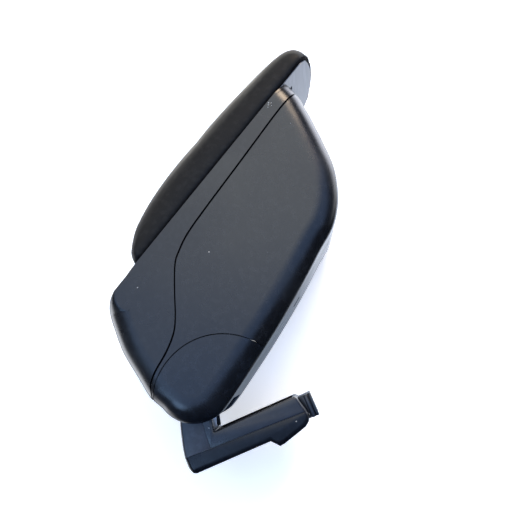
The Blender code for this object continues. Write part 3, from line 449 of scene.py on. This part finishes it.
def plate_outline(rear, front, half_width, corner, bow=0.0, steps=8, rear_corner=0.0):
    """Plan of a lid-like plate, with a bowed front and rounded corners."""
    slope = math.atan(2 * bow / half_width)
    centre = front - bow - corner * math.tan((math.pi / 2 - slope) / 2)
    right = arc((centre, -half_width + corner), corner, -90, -math.degrees(slope), steps)
    if rear_corner:
        right = arc((rear + rear_corner, -half_width + rear_corner), rear_corner, -180, -90, steps) + right
    else:
        right = [(rear, -half_width)] + right
    reach = right[-1]
    nose = []
    if bow:
        for k in range(1, 12):
            y = reach[1] * (1 - k / 6)
            nose.append((reach[0] + (front - reach[0]) * (1 - (y / reach[1]) ** 2), y))
    return right + nose + [(x, -y) for x, y in right[::-1]]


collar = fine_box_form()
collar.name = "collar_moulding"
cut(collar, box_form(WALL, RIM + 30))
ledge = keep(box_form(1.0), block((-60, BOX_REACH + 20), (-90, 90), (LEDGE_TOP - 3, RIM + 1)))
seat = keep(box_form(1.0), block((-20, OPENING_REAR - 1), (-SEAT_HALF, SEAT_HALF),
                                (RIM - SEAT_HEIGHT, RIM + 1)))
join(collar, ledge, seat)
keep(collar, above_seam(0))
cut(collar, cut(keep(skin(GROOVE_DEPTH), above_seam(-4)), above_seam(SEAM_GROOVE)))
rebate = plate_outline(REBATE_REAR, BOX_REACH - RIM_WIDTH, HALF_BOX - RIM_WIDTH, OPENING_CORNER)
cut(collar, upward(rebate, LEDGE_TOP, RIM + 9))
opening = plate_outline(OPENING_REAR, BOX_REACH - RIM_WIDTH - LEDGE_WIDTH - 5,
                        HALF_BOX - RIM_WIDTH - LEDGE_WIDTH, OPENING_CORNER)
cut(collar, upward(opening, LEDGE_TOP - 20, LEDGE_TOP + 2))
cut(collar, block((HINGE[0] - KNUCKLE - KNUCKLE_GAP, OPENING_REAR), (-NOTCH_HALF, NOTCH_HALF),
                  (HINGE[1] - KNUCKLE - KNUCKLE_GAP, RIM + 9)))
cut(collar, block(*WELL_MOUTH))
join(collar, turned("Y", HINGE, KNUCKLE, -LUG_HALF, LUG_HALF))
join(collar, block((HINGE[0] - 3, HINGE[0] + 3), (-LUG_HALF, LUG_HALF), (HINGE[1] - KNUCKLE - 3, HINGE[1])))
cut(collar, turned("Y", HINGE, PIN_RADIUS + GAP, -NOTCH_HALF - 6, NOTCH_HALF + 6, 24))
seat_in(collar, IN_BOX)
collar_marks = ((-22.3, -68, 200.5, 0.9), (186.0, -68, 333.0, 1.0), (184.6, -68, 330.8, 0.8),
                (188.6, -68, 331.6, 0.7), (183.2, -68, 328.4, 0.7), (187.5, -68, 328.6, 0.6))
collar_black = plastic("collar_grained_black", (0.0070, 0.0080, 0.0100), 0.26, wear=1.0,
                       tint=(0.011, 0.0125, 0.0150), marks=collar_marks)
dress(collar, collar_black, "box", "black_plastic", "collar", gaps=True)


# The two round pivot covers: snap-in mouldings that close the shell over the ends of the shaft.
# Each has a softened rim, which catches a thin light along its arc; the faces down in its seam are painted
# with dark shade.
COVER_GAP = 0.4
COVER_SOFTENING = 0.6
COVER_INNER = 34.2
HOLLOW_INNER = 29.2

for side, word in ((-1, "right"), (1, "left")):
    cover = fine_box_form()
    cover.name = f"cover_moulding_{word}"
    low, high = sorted((side * COVER_INNER, side * (HALF_BOX - COVER_SOFTENING)))
    drum = turned("Y", COVER_CENTRE, COVER_RADIUS - COVER_GAP, low, high, 160)
    low, high = sorted((side * (HALF_BOX - COVER_SOFTENING), side * (HALF_BOX + 0.4)))
    rim = turned("Y", COVER_CENTRE, COVER_RADIUS - COVER_GAP, low, high, 160)
    for corner in rim.data.vertices:
        if abs(corner.co.y) > HALF_BOX:
            corner.co.x += (COVER_CENTRE[0] - corner.co.x) * COVER_SOFTENING / COVER_RADIUS
            corner.co.z += (COVER_CENTRE[1] - corner.co.z) * COVER_SOFTENING / COVER_RADIUS
    keep(cover, join(drum, rim))
    low, high = sorted((side * HOLLOW_INNER, side * (HALF_BOX - WALL)))
    hollow = keep(box_form(WALL), turned("Y", COVER_CENTRE, COVER_RADIUS - WALL, low, high, 64))
    cut(cover, hollow)
    low, high = sorted((side * 10, side * (PANEL_HALF + GAP)))
    panel_edge = keep(box_form(-5), block((PANEL_REAR, 90), (low, high), (-90, -10)))
    cut(cover, cut(panel_edge, box_form(WALL + 0.1)))
    cut(cover, above_seam(-GAP - SEAM_GROOVE))
    seat_in(cover, IN_BOX)
    cover_black = plastic(f"cover_grained_black_{word}", (0.0070, 0.0085, 0.0115), 0.25, wear=0.6,
                          tint=(0.010, 0.013, 0.018))
    dress(cover, cover_black, "box", "black_plastic", f"pivot_cover_{word}", gaps=True)


# The underside panel: a smoother blue-grey plate let into the shell, with a small square window.
WINDOW = 138.5
WINDOW_LENGTH = 13.0
WINDOW_WIDTH = 10.0
panel = fine_box_form()
panel.name = "panel_moulding"
keep(panel, block((PANEL_REAR + GAP, PANEL_FRONT), (-PANEL_HALF, PANEL_HALF), (-80, -8)))
cut(panel, box_form(WALL - 0.2))
cut(panel, block((PANEL_REAR - 9, 14), (-WELL_HALF, WELL_HALF), (-80, 0)))
cut(panel, block((WINDOW - WINDOW_LENGTH / 2, WINDOW + WINDOW_LENGTH / 2),
                 (-WINDOW_WIDTH / 2, WINDOW_WIDTH / 2), (-80, 0)))
seat_in(panel, IN_BOX)
panel_grey = plastic("panel_smooth_slate", (0.040, 0.046, 0.060), 0.30, 0.8, 0.06,
                     tint=(0.050, 0.057, 0.074), gloss=0.3)
dress(panel, panel_grey, "box", "slate_plastic", "bottom_panel")


# The padded lid: moulded foam under black vinyl, wrapped tight over the plate below it.
# The foam is blown up a little in a cloth simulation, then the vinyl's tucks are pressed in at
# the nose's corners and the plate's pocket is cut out of the underside.
LID_BOTTOM = RIM + 0.8
LID_REAR = 58.6
LID_NOSE = 375.5
HALF_LID = 65.0
NOSE_CORNER = 20.0
NOSE_BOW = 14.0
REAR_CORNER = 13.0
TURN_IN = 4.4
PAD_SWELL = 0.0032
VOXEL = 0.0045
EDGE_SHOWN = 1.9
NOSE_EDGE_SHOWN = 3.4
RING_STEPS = 28
SIDE_FULLNESS = 0.42
CROWN_FULLNESS = 0.62
SIDE_START = 3
BASE_INSET = 4
BASE_STEPS = 8
HELD_HEIGHT = 5
AIR_PRESSURE = 4
STRETCH_STIFFNESS = 25
BENDING_STIFFNESS = 2
CLOTH_FRAMES = 20


def pad_half(x, outline):
    upper = [(px, py) for px, py in outline if py >= 0]
    for (x0, y0), (x1, y1) in zip(upper, upper[1:]):
        if min(x0, x1) <= x <= max(x0, x1) and abs(x1 - x0) > 1e-6:
            return y0 + (y1 - y0) * (x - x0) / (x1 - x0)
    return 1.0


crown = [(LID_REAR, 5), (60.5, 10), (66, 18.2), (75, 25.3), (85, 31.6), (96, 36.1), (121, 41.8), (148, 45.1),
         (177, 46.3), (208, 45.9), (239, 45.5), (271, 43.8), (304, 40.9), (325, 38.3), (342, 35.1),
         (356, 30.7), (365, 25.5), (371, 19), (375, 12), (LID_NOSE, 5)]
lid_plan = plate_outline(LID_REAR, LID_NOSE, HALF_LID, NOSE_CORNER, NOSE_BOW, 12, REAR_CORNER)
bm = bmesh.new()
rings = []
for x, height in smooth_line(crown, 3):
    half = max(pad_half(x, lid_plan), 6)
    ring = []
    for k in range(RING_STEPS + 1):
        turn = math.pi * k / RING_STEPS
        wide = math.copysign(abs(math.cos(turn)) ** SIDE_FULLNESS, math.cos(turn))
        tall = max(math.sin(turn), 0) ** CROWN_FULLNESS
        ring.append(bm.verts.new((x, half * wide, LID_BOTTOM + SIDE_START + (height - SIDE_START) * tall)))
    ring += [bm.verts.new((x, (half - BASE_INSET) * (2 * k / BASE_STEPS - 1), LID_BOTTOM))
             for k in range(BASE_STEPS + 1)]
    rings.append(ring)
for first, second in zip(rings, rings[1:]):
    for i in range(len(first)):
        j = (i + 1) % len(first)
        bm.faces.new((first[i], first[j], second[j], second[i]))
bm.faces.new(rings[0])
bm.faces.new(rings[-1])
bmesh.ops.recalc_face_normals(bm, faces=bm.faces)
pad = mesh_object("vinyl_pad", bm)
pad.data.transform(IN_BOX)
remesh = pad.modifiers.new("even_mesh", "REMESH")
remesh.mode = "VOXEL"
remesh.voxel_size = VOXEL
settle(pad)

to_box = IN_BOX.inverted()
start = [vertex.co.copy() for vertex in pad.data.vertices]
heights = [(to_box @ point).z - LID_BOTTOM for point in start]
group = pad.vertex_groups.new(name="held")
for index, height in enumerate(heights):
    group.add([index], 1.0 if height < HELD_HEIGHT else max(0.0, 0.4 - height / 60), "REPLACE")
cloth = pad.modifiers.new("vinyl", "CLOTH")
cloth.settings.vertex_group_mass = "held"
cloth.settings.use_pressure = True
cloth.settings.uniform_pressure_force = AIR_PRESSURE
cloth.settings.effector_weights.gravity = 0
cloth.settings.tension_stiffness = STRETCH_STIFFNESS
cloth.settings.compression_stiffness = STRETCH_STIFFNESS
cloth.settings.bending_stiffness = BENDING_STIFFNESS
for step in range(1, CLOTH_FRAMES + 1):
    bpy.context.scene.frame_set(step)
settle(pad)
bpy.context.scene.frame_set(1)
for vertex, before, height in zip(pad.data.vertices, start, heights):
    move = vertex.co - before
    limit = PAD_SWELL * min(max((height - 4) / 12, 0), 1)
    if move.length > limit:
        vertex.co = before + move * (limit / max(move.length, 1e-9))
subdivide = pad.modifiers.new("fine", "SUBSURF")
subdivide.levels = 1
subdivide.render_levels = 1
settle(pad)

TUCK_REACH = 11.0
TUCK_DEPTH = 0.9
TUCK_SPACING = 0.105
TUCK_MIDDLE = 0.55
TUCK_SPREAD = 0.5
POCKET_DEPTH = 8.4
nose_centre = (LID_NOSE - NOSE_BOW - 0.6 * NOSE_CORNER, HALF_LID - NOSE_CORNER)
for vertex in pad.data.vertices:
    point = to_box @ vertex.co
    reach = Vector((point.x - nose_centre[0], abs(point.y) - nose_centre[1]))
    if reach.x > 0 and reach.y > -14:
        turn = math.atan2(reach.y, reach.x)
        low = math.exp(-((point.z - LID_BOTTOM) / TUCK_REACH) ** 2)
        rim = min(reach.length / NOSE_CORNER, 1) ** 3
        corner = math.exp(-((turn - TUCK_MIDDLE) / TUCK_SPREAD) ** 2)
        pleat = math.sin(turn / TUCK_SPACING * 2 * math.pi + 1.3 * math.sin(turn * 9))
        point -= Vector((reach.x, math.copysign(reach.y, point.y), 0)).normalized() * (
            TUCK_DEPTH * (0.5 + 0.5 * pleat) ** 2 * low * rim * corner)
    vertex.co = IN_BOX @ point
pocket_plan = plate_outline(LID_REAR + TURN_IN, LID_NOSE - TURN_IN, HALF_LID - TURN_IN,
                            NOSE_CORNER - TURN_IN, NOSE_BOW, 12, REAR_CORNER - TURN_IN)
pocket = upward(pocket_plan, LID_BOTTOM - 8, LID_BOTTOM + POCKET_DEPTH)
pocket.data.transform(IN_BOX)
cut(pad, pocket)
pad.data.shade_smooth()
pad.data.set_sharp_from_angle(angle=math.radians(50))
# The vinyl's leather grain is coarser and softer than the plastic's. Its lower edge, where the vinyl turns
# under, is painted dark as shade.
vinyl = plastic("pad_vinyl_black", (0.0085, 0.0086, 0.009), 0.46, 0.9, 0.3,
                tint=(0.0125, 0.0125, 0.0125), gloss=0.14)
pad_lip_shade_paint = plastic("vinyl_lip_painted_shade", (0.004, 0.004, 0.005), 0.8, 0.9, 0.2,
                      tint=(0.007, 0.007, 0.008), gloss=0.1)
dress(pad, vinyl, "pad", "pad_vinyl", "pad_cushion")
# Painted shade: the band of faces along the pad's lower edge, taller at the nose, gets the dark matt
# material.
pad.data.materials.append(pad_lip_shade_paint)
for face in pad.data.polygons:
    centre = to_box @ face.center
    if centre.z < LID_BOTTOM + (NOSE_EDGE_SHOWN if centre.x > LID_NOSE - 2 * NOSE_CORNER else EDGE_SHOWN):
        face.material_index = 1


# The plate under the pad: a smooth blue-grey moulding that shows beyond the box's front, with two
# long slots that the carrier's rails run in.
PLATE_TURN_IN = 4.8
PLATE_WALL = 2.2
PLATE_FLOOR = 2.4
RAIL_SLOT = (111.7, 334)
RAIL_Y = 30.5
RAIL_SLOT_HALF = 4
plate_plan = plate_outline(LID_REAR + PLATE_TURN_IN, LID_NOSE - PLATE_TURN_IN, HALF_LID - PLATE_TURN_IN,
                           NOSE_CORNER - PLATE_TURN_IN, NOSE_BOW, 12, REAR_CORNER - PLATE_TURN_IN)
plate = upward(plate_plan, LID_BOTTOM, LID_BOTTOM + 8)
plate.name = "plate_moulding"
cut(plate, upward(inset(plate_plan, PLATE_WALL), LID_BOTTOM + PLATE_FLOOR, LID_BOTTOM + 13))
for side in (-1, 1):
    cut(plate, block(RAIL_SLOT, (side * RAIL_Y - RAIL_SLOT_HALF, side * RAIL_Y + RAIL_SLOT_HALF),
                     (LID_BOTTOM - 2, LID_BOTTOM + 4)))
seat_in(plate, IN_BOX)
plate_grey = plastic("plate_smooth_slate", (0.105, 0.118, 0.150), 0.30, 0.9, 0.05,
                     tint=(0.145, 0.160, 0.195), stretch=(1.0, 0.1, 1.0))
dress(plate, plate_grey, "pad", "slate_plastic", "pad_base")


# The screws: zinc-plated pan heads with a cross recess. Six fasten the slide strips to the lid's
# carrier, heads up, and four close the foot's case from below. Each sits on its own seat.
SCREW_HEAD_DIAMETER = 0.0062
SCREW_HEAD_HEIGHT = 0.0016
SCREW_SHANK_DIAMETER = 0.0035
HEAD_TOP = 0.4
SHANK_SUNK = 0.49
RECESS_REACH = 0.55
RECESS_WIDTH = 0.14
slots = {entry["node"]: entry["material_slot"] for entry in frame["record"]["subparts"]}
body_of = {name: body for body, names in frame["record"]["behaviour"]["bodies"].items() for name in names}


def zinc(name):
    """Zinc-plated steel: cloudy patches in the plating."""
    material = bpy.data.materials.new(name)
    material.use_nodes = True
    tree = material.node_tree
    shader = tree.nodes["Principled BSDF"]
    shader.inputs["Metallic"].default_value = 1.0
    place = tree.nodes.new("ShaderNodeTexCoord").outputs["Object"]
    cloud = tree.nodes.new("ShaderNodeTexNoise")
    cloud.inputs["Scale"].default_value = 90
    cloud.inputs["Detail"].default_value = 4
    tree.links.new(place, cloud.inputs["Vector"])
    tone = tree.nodes.new("ShaderNodeMapRange")
    tone.inputs["To Min"].default_value = 0.26
    tone.inputs["To Max"].default_value = 0.42
    tree.links.new(cloud.outputs["Fac"], tone.inputs["Value"])
    tree.links.new(tone.outputs["Result"], shader.inputs["Roughness"])
    colour = tree.nodes.new("ShaderNodeMix")
    colour.data_type = "RGBA"
    colour.inputs["A"].default_value = (0.50, 0.51, 0.53, 1)
    colour.inputs["B"].default_value = (0.60, 0.60, 0.58, 1)
    tree.links.new(cloud.outputs["Fac"], colour.inputs["Factor"])
    tree.links.new(colour.outputs["Result"], shader.inputs["Base Color"])
    return material


def screw_tree():
    """Geometry Nodes: a pan head screw with a cross recess, set on each point of a mesh."""
    tree = bpy.data.node_groups.new("pan_head_screws", "GeometryNodeTree")
    tree.is_modifier = True
    tree.interface.new_socket("Geometry", in_out="INPUT", socket_type="NodeSocketGeometry")
    for name in ("Head Diameter", "Head Height", "Shank Diameter", "Shank Length"):
        tree.interface.new_socket(name, in_out="INPUT", socket_type="NodeSocketFloat")
    tree.interface.new_socket("Turn", in_out="INPUT", socket_type="NodeSocketVector")
    tree.interface.new_socket("Metal", in_out="INPUT", socket_type="NodeSocketMaterial")
    tree.interface.new_socket("Geometry", in_out="OUTPUT", socket_type="NodeSocketGeometry")
    given = tree.nodes.new("NodeGroupInput").outputs

    def node(kind, *inputs):
        """A node, with its inputs linked to other nodes or set to values."""
        made = tree.nodes.new(kind)
        for name, source in inputs:
            if isinstance(source, bpy.types.NodeSocket):
                tree.links.new(source, made.inputs[name])
            else:
                made.inputs[name].default_value = source
        return made

    def share(source, part):
        made = node("ShaderNodeMath", (0, source), (1, part))
        made.operation = "MULTIPLY"
        return made.outputs[0]

    def vector(x=0.0, y=0.0, z=0.0):
        return node("ShaderNodeCombineXYZ", ("X", x), ("Y", y), ("Z", z)).outputs[0]

    def moved(shape, place):
        made = node("GeometryNodeTransform", ("Geometry", shape.outputs["Mesh"]), ("Translation", place))
        return made.outputs[0]

    def boolean(operation, first, *others):
        made = tree.nodes.new("GeometryNodeMeshBoolean")
        made.operation = operation
        made.solver = "EXACT"
        tree.links.new(first, made.inputs[0 if operation == "DIFFERENCE" else 1])
        for other in others:
            tree.links.new(other, made.inputs[1])
        return made.outputs[0]

    diameter = given["Head Diameter"]
    head = node("GeometryNodeMeshCone", ("Vertices", 32), ("Radius Top", share(diameter, HEAD_TOP)),
                ("Radius Bottom", share(diameter, 0.5)), ("Depth", given["Head Height"]))
    shank = node("GeometryNodeMeshCylinder", ("Vertices", 20), ("Depth", given["Shank Length"]),
                 ("Radius", share(given["Shank Diameter"], 0.5)))
    sunk = moved(shank, vector(z=share(given["Shank Length"], -SHANK_SUNK)))
    screw = boolean("UNION", head.outputs["Mesh"], sunk)
    bars = []
    for reach, width in ((RECESS_REACH, RECESS_WIDTH), (RECESS_WIDTH, RECESS_REACH)):
        size = vector(share(diameter, reach), share(diameter, width), given["Head Height"])
        bars.append(moved(node("GeometryNodeMeshCube", ("Size", size)), vector(z=given["Head Height"])))
    screw = boolean("DIFFERENCE", screw, *bars)
    placed = node("GeometryNodeInstanceOnPoints", ("Points", given["Geometry"]), ("Instance", screw),
                  ("Rotation", given["Turn"])).outputs["Instances"]
    real = node("GeometryNodeRealizeInstances", ("Geometry", placed)).outputs[0]
    coated = node("GeometryNodeSetMaterial", ("Geometry", real), ("Material", given["Metal"])).outputs[0]
    node("NodeGroupOutput", ("Geometry", coated))
    return tree


steel = zinc("zinc_plated_steel")
pan_head_screws = screw_tree()
carrier_frame = Matrix.Translation(PIVOT) @ Matrix.Rotation(-BOX_TILT, 4, "Y")
for name, first_word, place, head_up, turn in (
        ("slide_screws", "slide_screw_", carrier_frame, True, (0.0, -BOX_TILT, 0.0)),
        ("case_screws", "foot_case_screw_", Matrix.Identity(4), False, (math.pi, 0.0, 0.0))):
    holders = sorted(node for node in nodes if node.startswith(first_word))
    seats = bmesh.new()
    lengths = []
    for holder in holders:
        corners = [place.inverted() @ corner.co for corner in nodes[holder].data.vertices]
        low, high = (Vector([choose(corner[axis] for corner in corners) for axis in range(3)])
                     for choose in (min, max))
        seat_height = high.z - SCREW_HEAD_HEIGHT if head_up else low.z + SCREW_HEAD_HEIGHT
        lengths.append(seat_height - low.z if head_up else high.z - seat_height)
        seats.verts.new(place @ Vector(((low.x + high.x) / 2, (low.y + high.y) / 2, seat_height)))
    screws = mesh_object(name, seats)
    modifier = screws.modifiers.new("screws", "NODES")
    modifier.node_group = pan_head_screws
    sizes = {"Head Diameter": SCREW_HEAD_DIAMETER, "Head Height": SCREW_HEAD_HEIGHT,
             "Shank Diameter": SCREW_SHANK_DIAMETER, "Shank Length": min(lengths), "Turn": turn,
             "Metal": steel}
    for socket in pan_head_screws.interface.items_tree:
        if socket.in_out == "INPUT" and socket.name in sizes:
            modifier[socket.identifier] = sizes[socket.name]
    settle(screws)
    seat_in(screws, Matrix.Identity(4), 30)
    dress(screws, steel, body_of[holders[0]], slots[holders[0]], *holders)


# The remaining pieces keep their solids' shape: each one's copy is welded, its edges are broken
# with a small bevel and it gets the finish of its own material. The foot's riser is opened at its front,
# and the inside of its tray gets the upper case's second material, a dark matt black painted as the shade
# down in the tray.
BROKEN_EDGE = 0.0003
TRAY = ((-0.0095, 0.081), 0.0258, (0.020, 0.0312))
RISER_WINDOW = ((-0.014, 0.002), (-0.0252, 0.0252), (0.0345, 0.060))
foot_marks = ((-14.0, -28, 38.2, 0.9),)
lower_case_marks = ((74.4, -28, 8.7, 0.9),)
finishes = {
    "steel": steel,
    "black_plastic": plastic("foot_grained_black", (0.0065, 0.0085, 0.0130), 0.25, wear=0.8,
                             tint=(0.010, 0.013, 0.020), marks=foot_marks),
    "slate_plastic": plastic("cap_slate", (0.030, 0.035, 0.045), 0.36, 0.7, 0.1, tint=(0.036, 0.042, 0.054)),
    "bin_plastic": plastic("bin_matt_black", (0.018, 0.019, 0.021), 0.55, 0.6, 0.2),
    "bush_plastic": plastic("bush_nylon", (0.55, 0.53, 0.46), 0.45, 1.2, 0.05, tint=(0.5, 0.48, 0.42)),
    "buffer_rubber": plastic("buffer_rubber_black", (0.014, 0.014, 0.014), 0.75, 0.5, 0.2),
}
lower_black = plastic("foot_lower_grained_black", (0.0045, 0.006, 0.0095), 0.27, wear=0.8,
                      tint=(0.007, 0.010, 0.015), gloss=0.26, marks=lower_case_marks)
tray_painted_shade = plastic("tray_matt_painted_shade", (0.005, 0.005, 0.006), 0.7, 0.7, 0.2,
                     tint=(0.008, 0.008, 0.009), gloss=0.12)

for name in sorted(nodes):
    if name in replaced:
        continue
    piece = bpy.data.objects.new(f"finished_{name}", nodes[name].data.copy())
    bpy.context.scene.collection.objects.link(piece)
    bm = bmesh.new()
    bm.from_mesh(piece.data)
    bmesh.ops.remove_doubles(bm, verts=bm.verts, dist=0.000002)
    bmesh.ops.dissolve_limit(bm, angle_limit=math.radians(0.5), verts=bm.verts, edges=bm.edges)
    bm.to_mesh(piece.data)
    bm.free()
    if name == "foot_upper_case":
        cut(piece, block(*RISER_WINDOW))
    bevel = piece.modifiers.new("broken_edges", "BEVEL")
    bevel.width = BROKEN_EDGE
    bevel.segments = 2
    bevel.limit_method = "ANGLE"
    bevel.angle_limit = math.radians(50)
    settle(piece)
    piece.data.shade_smooth()
    piece.data.set_sharp_from_angle(angle=math.radians(40))
    finish = lower_black if name == "foot_lower_case" else finishes[slots[name]]
    dress(piece, finish, body_of[name], slots[name], name)
    if name == "foot_upper_case":
        # Painted shade: the faces inside the tray get the dark matt material.
        piece.data.materials.append(tray_painted_shade)
        for face in piece.data.polygons:
            x, y, z = face.center
            if TRAY[0][0] < x < TRAY[0][1] and abs(y) < TRAY[1] and TRAY[2][0] < z < TRAY[2][1]:
                face.material_index = 1


# The photographer's table: white, seen behind the object as in the photograph, and a pale floor.
# The table and the floor only take the object's shadow; the room's light passes them by.
def stage_plane(name, centre, normal, size, glow):
    bm = bmesh.new()
    bmesh.ops.create_grid(bm, x_segments=1, y_segments=1, size=size / 2)
    turn = Vector((0, 0, 1)).rotation_difference(Vector(normal)).to_matrix().to_4x4()
    bmesh.ops.transform(bm, matrix=Matrix.Translation(centre) @ turn, verts=bm.verts)
    plane = mesh_object(name, bm)
    plane.visible_diffuse = False
    plane.visible_glossy = False
    plane.visible_transmission = False
    plane.visible_shadow = False
    material = bpy.data.materials.new(name)
    material.use_nodes = True
    tree = material.node_tree
    tree.nodes.clear()
    diffuse = tree.nodes.new("ShaderNodeBsdfDiffuse")
    diffuse.inputs["Color"].default_value = (0.93, 0.95, 0.97, 1)
    light = tree.nodes.new("ShaderNodeEmission")
    light.inputs["Strength"].default_value = glow
    both = tree.nodes.new("ShaderNodeAddShader")
    clear = tree.nodes.new("ShaderNodeBsdfTransparent")
    facing = tree.nodes.new("ShaderNodeNewGeometry")
    choice = tree.nodes.new("ShaderNodeMixShader")
    out = tree.nodes.new("ShaderNodeOutputMaterial")
    tree.links.new(diffuse.outputs[0], both.inputs[0])
    tree.links.new(light.outputs[0], both.inputs[1])
    tree.links.new(facing.outputs["Backfacing"], choice.inputs[0])
    tree.links.new(both.outputs[0], choice.inputs[1])
    tree.links.new(clear.outputs[0], choice.inputs[2])
    tree.links.new(choice.outputs[0], out.inputs[0])
    plane.data.materials.append(material)
    return plane


TABLE_Y = 0.074
FLOOR_Z = -0.11
stage_plane("table", (0.1, TABLE_Y, 0.2), (0, -1, 0), 6.0, 0.55)
stage_plane("floor", (0.1, 0, FLOOR_Z), (0, 0, 1), 6.0, 0.55)


# The room's light: a blue evening sky on the camera's side with a soft white card in it, a dark
# ring round the sides, and the bright table behind, which the edge rounds mirror as pale lines.
world = bpy.data.worlds.new("room")
bpy.context.scene.world = world
world.use_nodes = True
tree = world.node_tree
background = tree.nodes["Background"]
direction = tree.nodes.new("ShaderNodeTexCoord").outputs["Generated"]
split = tree.nodes.new("ShaderNodeSeparateXYZ")
tree.links.new(direction, split.inputs[0])
depth = tree.nodes.new("ShaderNodeMapRange")
depth.inputs["From Min"].default_value = -1.0
depth.inputs["From Max"].default_value = 1.0
tree.links.new(split.outputs["Y"], depth.inputs["Value"])
ramp = tree.nodes.new("ShaderNodeValToRGB")
SKY_GAIN = 2.5
DARK = (0.01, 0.012, 0.02)
# The sky's colour by direction across the picture's depth, from the camera's side to the table's.
levels = ((-1.0, (0.50, 0.80, 1.50)), (-0.76, (0.50, 0.80, 1.50)), (-0.64, (0.38, 0.58, 1.10)),
          (-0.52, (0.05, 0.08, 0.16)), (-0.14, DARK), (-0.03, (0.45, 0.47, 0.54)),
          (0.05, (2.1, 2.15, 2.30)), (0.34, (2.1, 2.15, 2.30)), (0.55, (1.2, 1.26, 1.38)),
          (0.90, (0.60, 0.70, 0.84)), (1.0, (0.36, 0.44, 0.57)))
for index, (y, colour) in enumerate(levels):
    if index < 2:
        stop = ramp.color_ramp.elements[index]
        stop.position = (y + 1) / 2
    else:
        stop = ramp.color_ramp.elements.new((y + 1) / 2)
    stop.color = (*(channel / SKY_GAIN for channel in colour), 1)
tree.links.new(depth.outputs["Result"], ramp.inputs["Fac"])
gain = tree.nodes.new("ShaderNodeVectorMath")
gain.operation = "SCALE"
gain.inputs["Scale"].default_value = SKY_GAIN
tree.links.new(ramp.outputs["Color"], gain.inputs[0])
sky = gain.outputs["Vector"]
# Each card, lamp or dark corner of the room: towards (x, y, z), inner and outer angle, radiance.
for towards, inner, outer, colour in (
        ((-0.05, -0.10, -1.00), 55, 70, DARK),
        ((0.60, 0.45, -0.66), 24, 42, (0.02, 0.03, 0.04)),
        ((-0.90, -0.42, 0.05), 24, 33, DARK),
        ((-0.95, 0.30, 0.05), 10, 24, (5.0, 5.2, 5.6)),
        ((0.15, 0.30, 0.94), 14, 46, (3.9, 3.8, 3.6)),
        ((0.62, 0.70, 0.35), 20, 42, (2.3, 2.4, 2.6)),
        ((0.90, 0.20, 0.42), 10, 28, (6.0, 6.2, 7.0)),
        ((0.55, 0.83, -0.09), 12, 24, (2.0, 2.2, 2.6)),
        ((0.12, -0.86, 0.50), 5, 34, (2.45, 2.6, 2.75)),
        ((-0.60, -0.74, -0.26), 4, 14, (2.0, 3.2, 5.2)),
        ((-0.42, -0.90, 0.05), 4, 14, (0.9, 1.4, 2.4)),
        ((-0.37, -0.64, 0.67), 12, 29, (0.12, 0.12, 0.12)),
        ((0.50, -0.62, 0.60), 5, 14, (18.0, 14.4, 10.8))):
    patch = tree.nodes.new("ShaderNodeVectorMath")
    patch.operation = "DOT_PRODUCT"
    patch.inputs[1].default_value = Vector(towards).normalized()
    tree.links.new(direction, patch.inputs[0])
    spread = tree.nodes.new("ShaderNodeMapRange")
    spread.interpolation_type = "SMOOTHSTEP"
    spread.inputs["From Min"].default_value = math.cos(math.radians(outer))
    spread.inputs["From Max"].default_value = math.cos(math.radians(inner))
    tree.links.new(patch.outputs["Value"], spread.inputs["Value"])
    over = tree.nodes.new("ShaderNodeMix")
    over.data_type = "RGBA"
    over.inputs["B"].default_value = (*colour, 1)
    tree.links.new(spread.outputs["Result"], over.inputs["Factor"])
    tree.links.new(sky, over.inputs["A"])
    sky = over.outputs["Result"]
seen = tree.nodes.new("ShaderNodeLightPath")
mix = tree.nodes.new("ShaderNodeMix")
mix.data_type = "RGBA"
mix.inputs["B"].default_value = (1, 1, 1, 1)
tree.links.new(seen.outputs["Is Camera Ray"], mix.inputs["Factor"])
tree.links.new(sky, mix.inputs["A"])
tree.links.new(mix.outputs["Result"], background.inputs["Color"])
background.inputs["Strength"].default_value = 1.0


def soft_lamp(name, place, target, size, power, colour=(1, 1, 1)):
    data = bpy.data.lights.new(name, "AREA")
    data.shape = "DISK"
    data.size = size
    data.energy = power
    data.color = colour
    lamp = bpy.data.objects.new(name, data)
    lamp.location = place
    lamp.rotation_euler = (Vector(target) - Vector(place)).to_track_quat("-Z", "Y").to_euler()
    bpy.context.scene.collection.objects.link(lamp)
    return lamp


soft_lamp("ceiling_lamp", (-0.55, -1.1, 1.15), (0.08, 0, 0.18), 0.7, 3.0)


# The camera stands where the photographer's did: a long lens, looking at the object's right side
# from a little below the box's middle, and rolled with the object lying aslant on the table.
LENS = 38.118
SENSOR_WIDTH = 36.0
EYE = (0.1077, -0.620, 0.0633)
camera = bpy.data.objects.new("camera", bpy.data.cameras.new("camera"))
camera.data.lens = LENS
camera.data.sensor_width = SENSOR_WIDTH
camera.data.clip_start = 0.01
across_picture = Vector((0.91571, 0.08872, -0.39191))
up_picture = Vector((0.4018, -0.19012, 0.89578))
back_of_picture = across_picture.cross(up_picture)
camera.matrix_world = Matrix((
    (across_picture.x, up_picture.x, back_of_picture.x, EYE[0]),
    (across_picture.y, up_picture.y, back_of_picture.y, EYE[1]),
    (across_picture.z, up_picture.z, back_of_picture.z, EYE[2]),
    (0, 0, 0, 1)))
bpy.context.scene.collection.objects.link(camera)
bpy.context.scene.camera = camera
bpy.context.scene.view_settings.view_transform = "Standard"
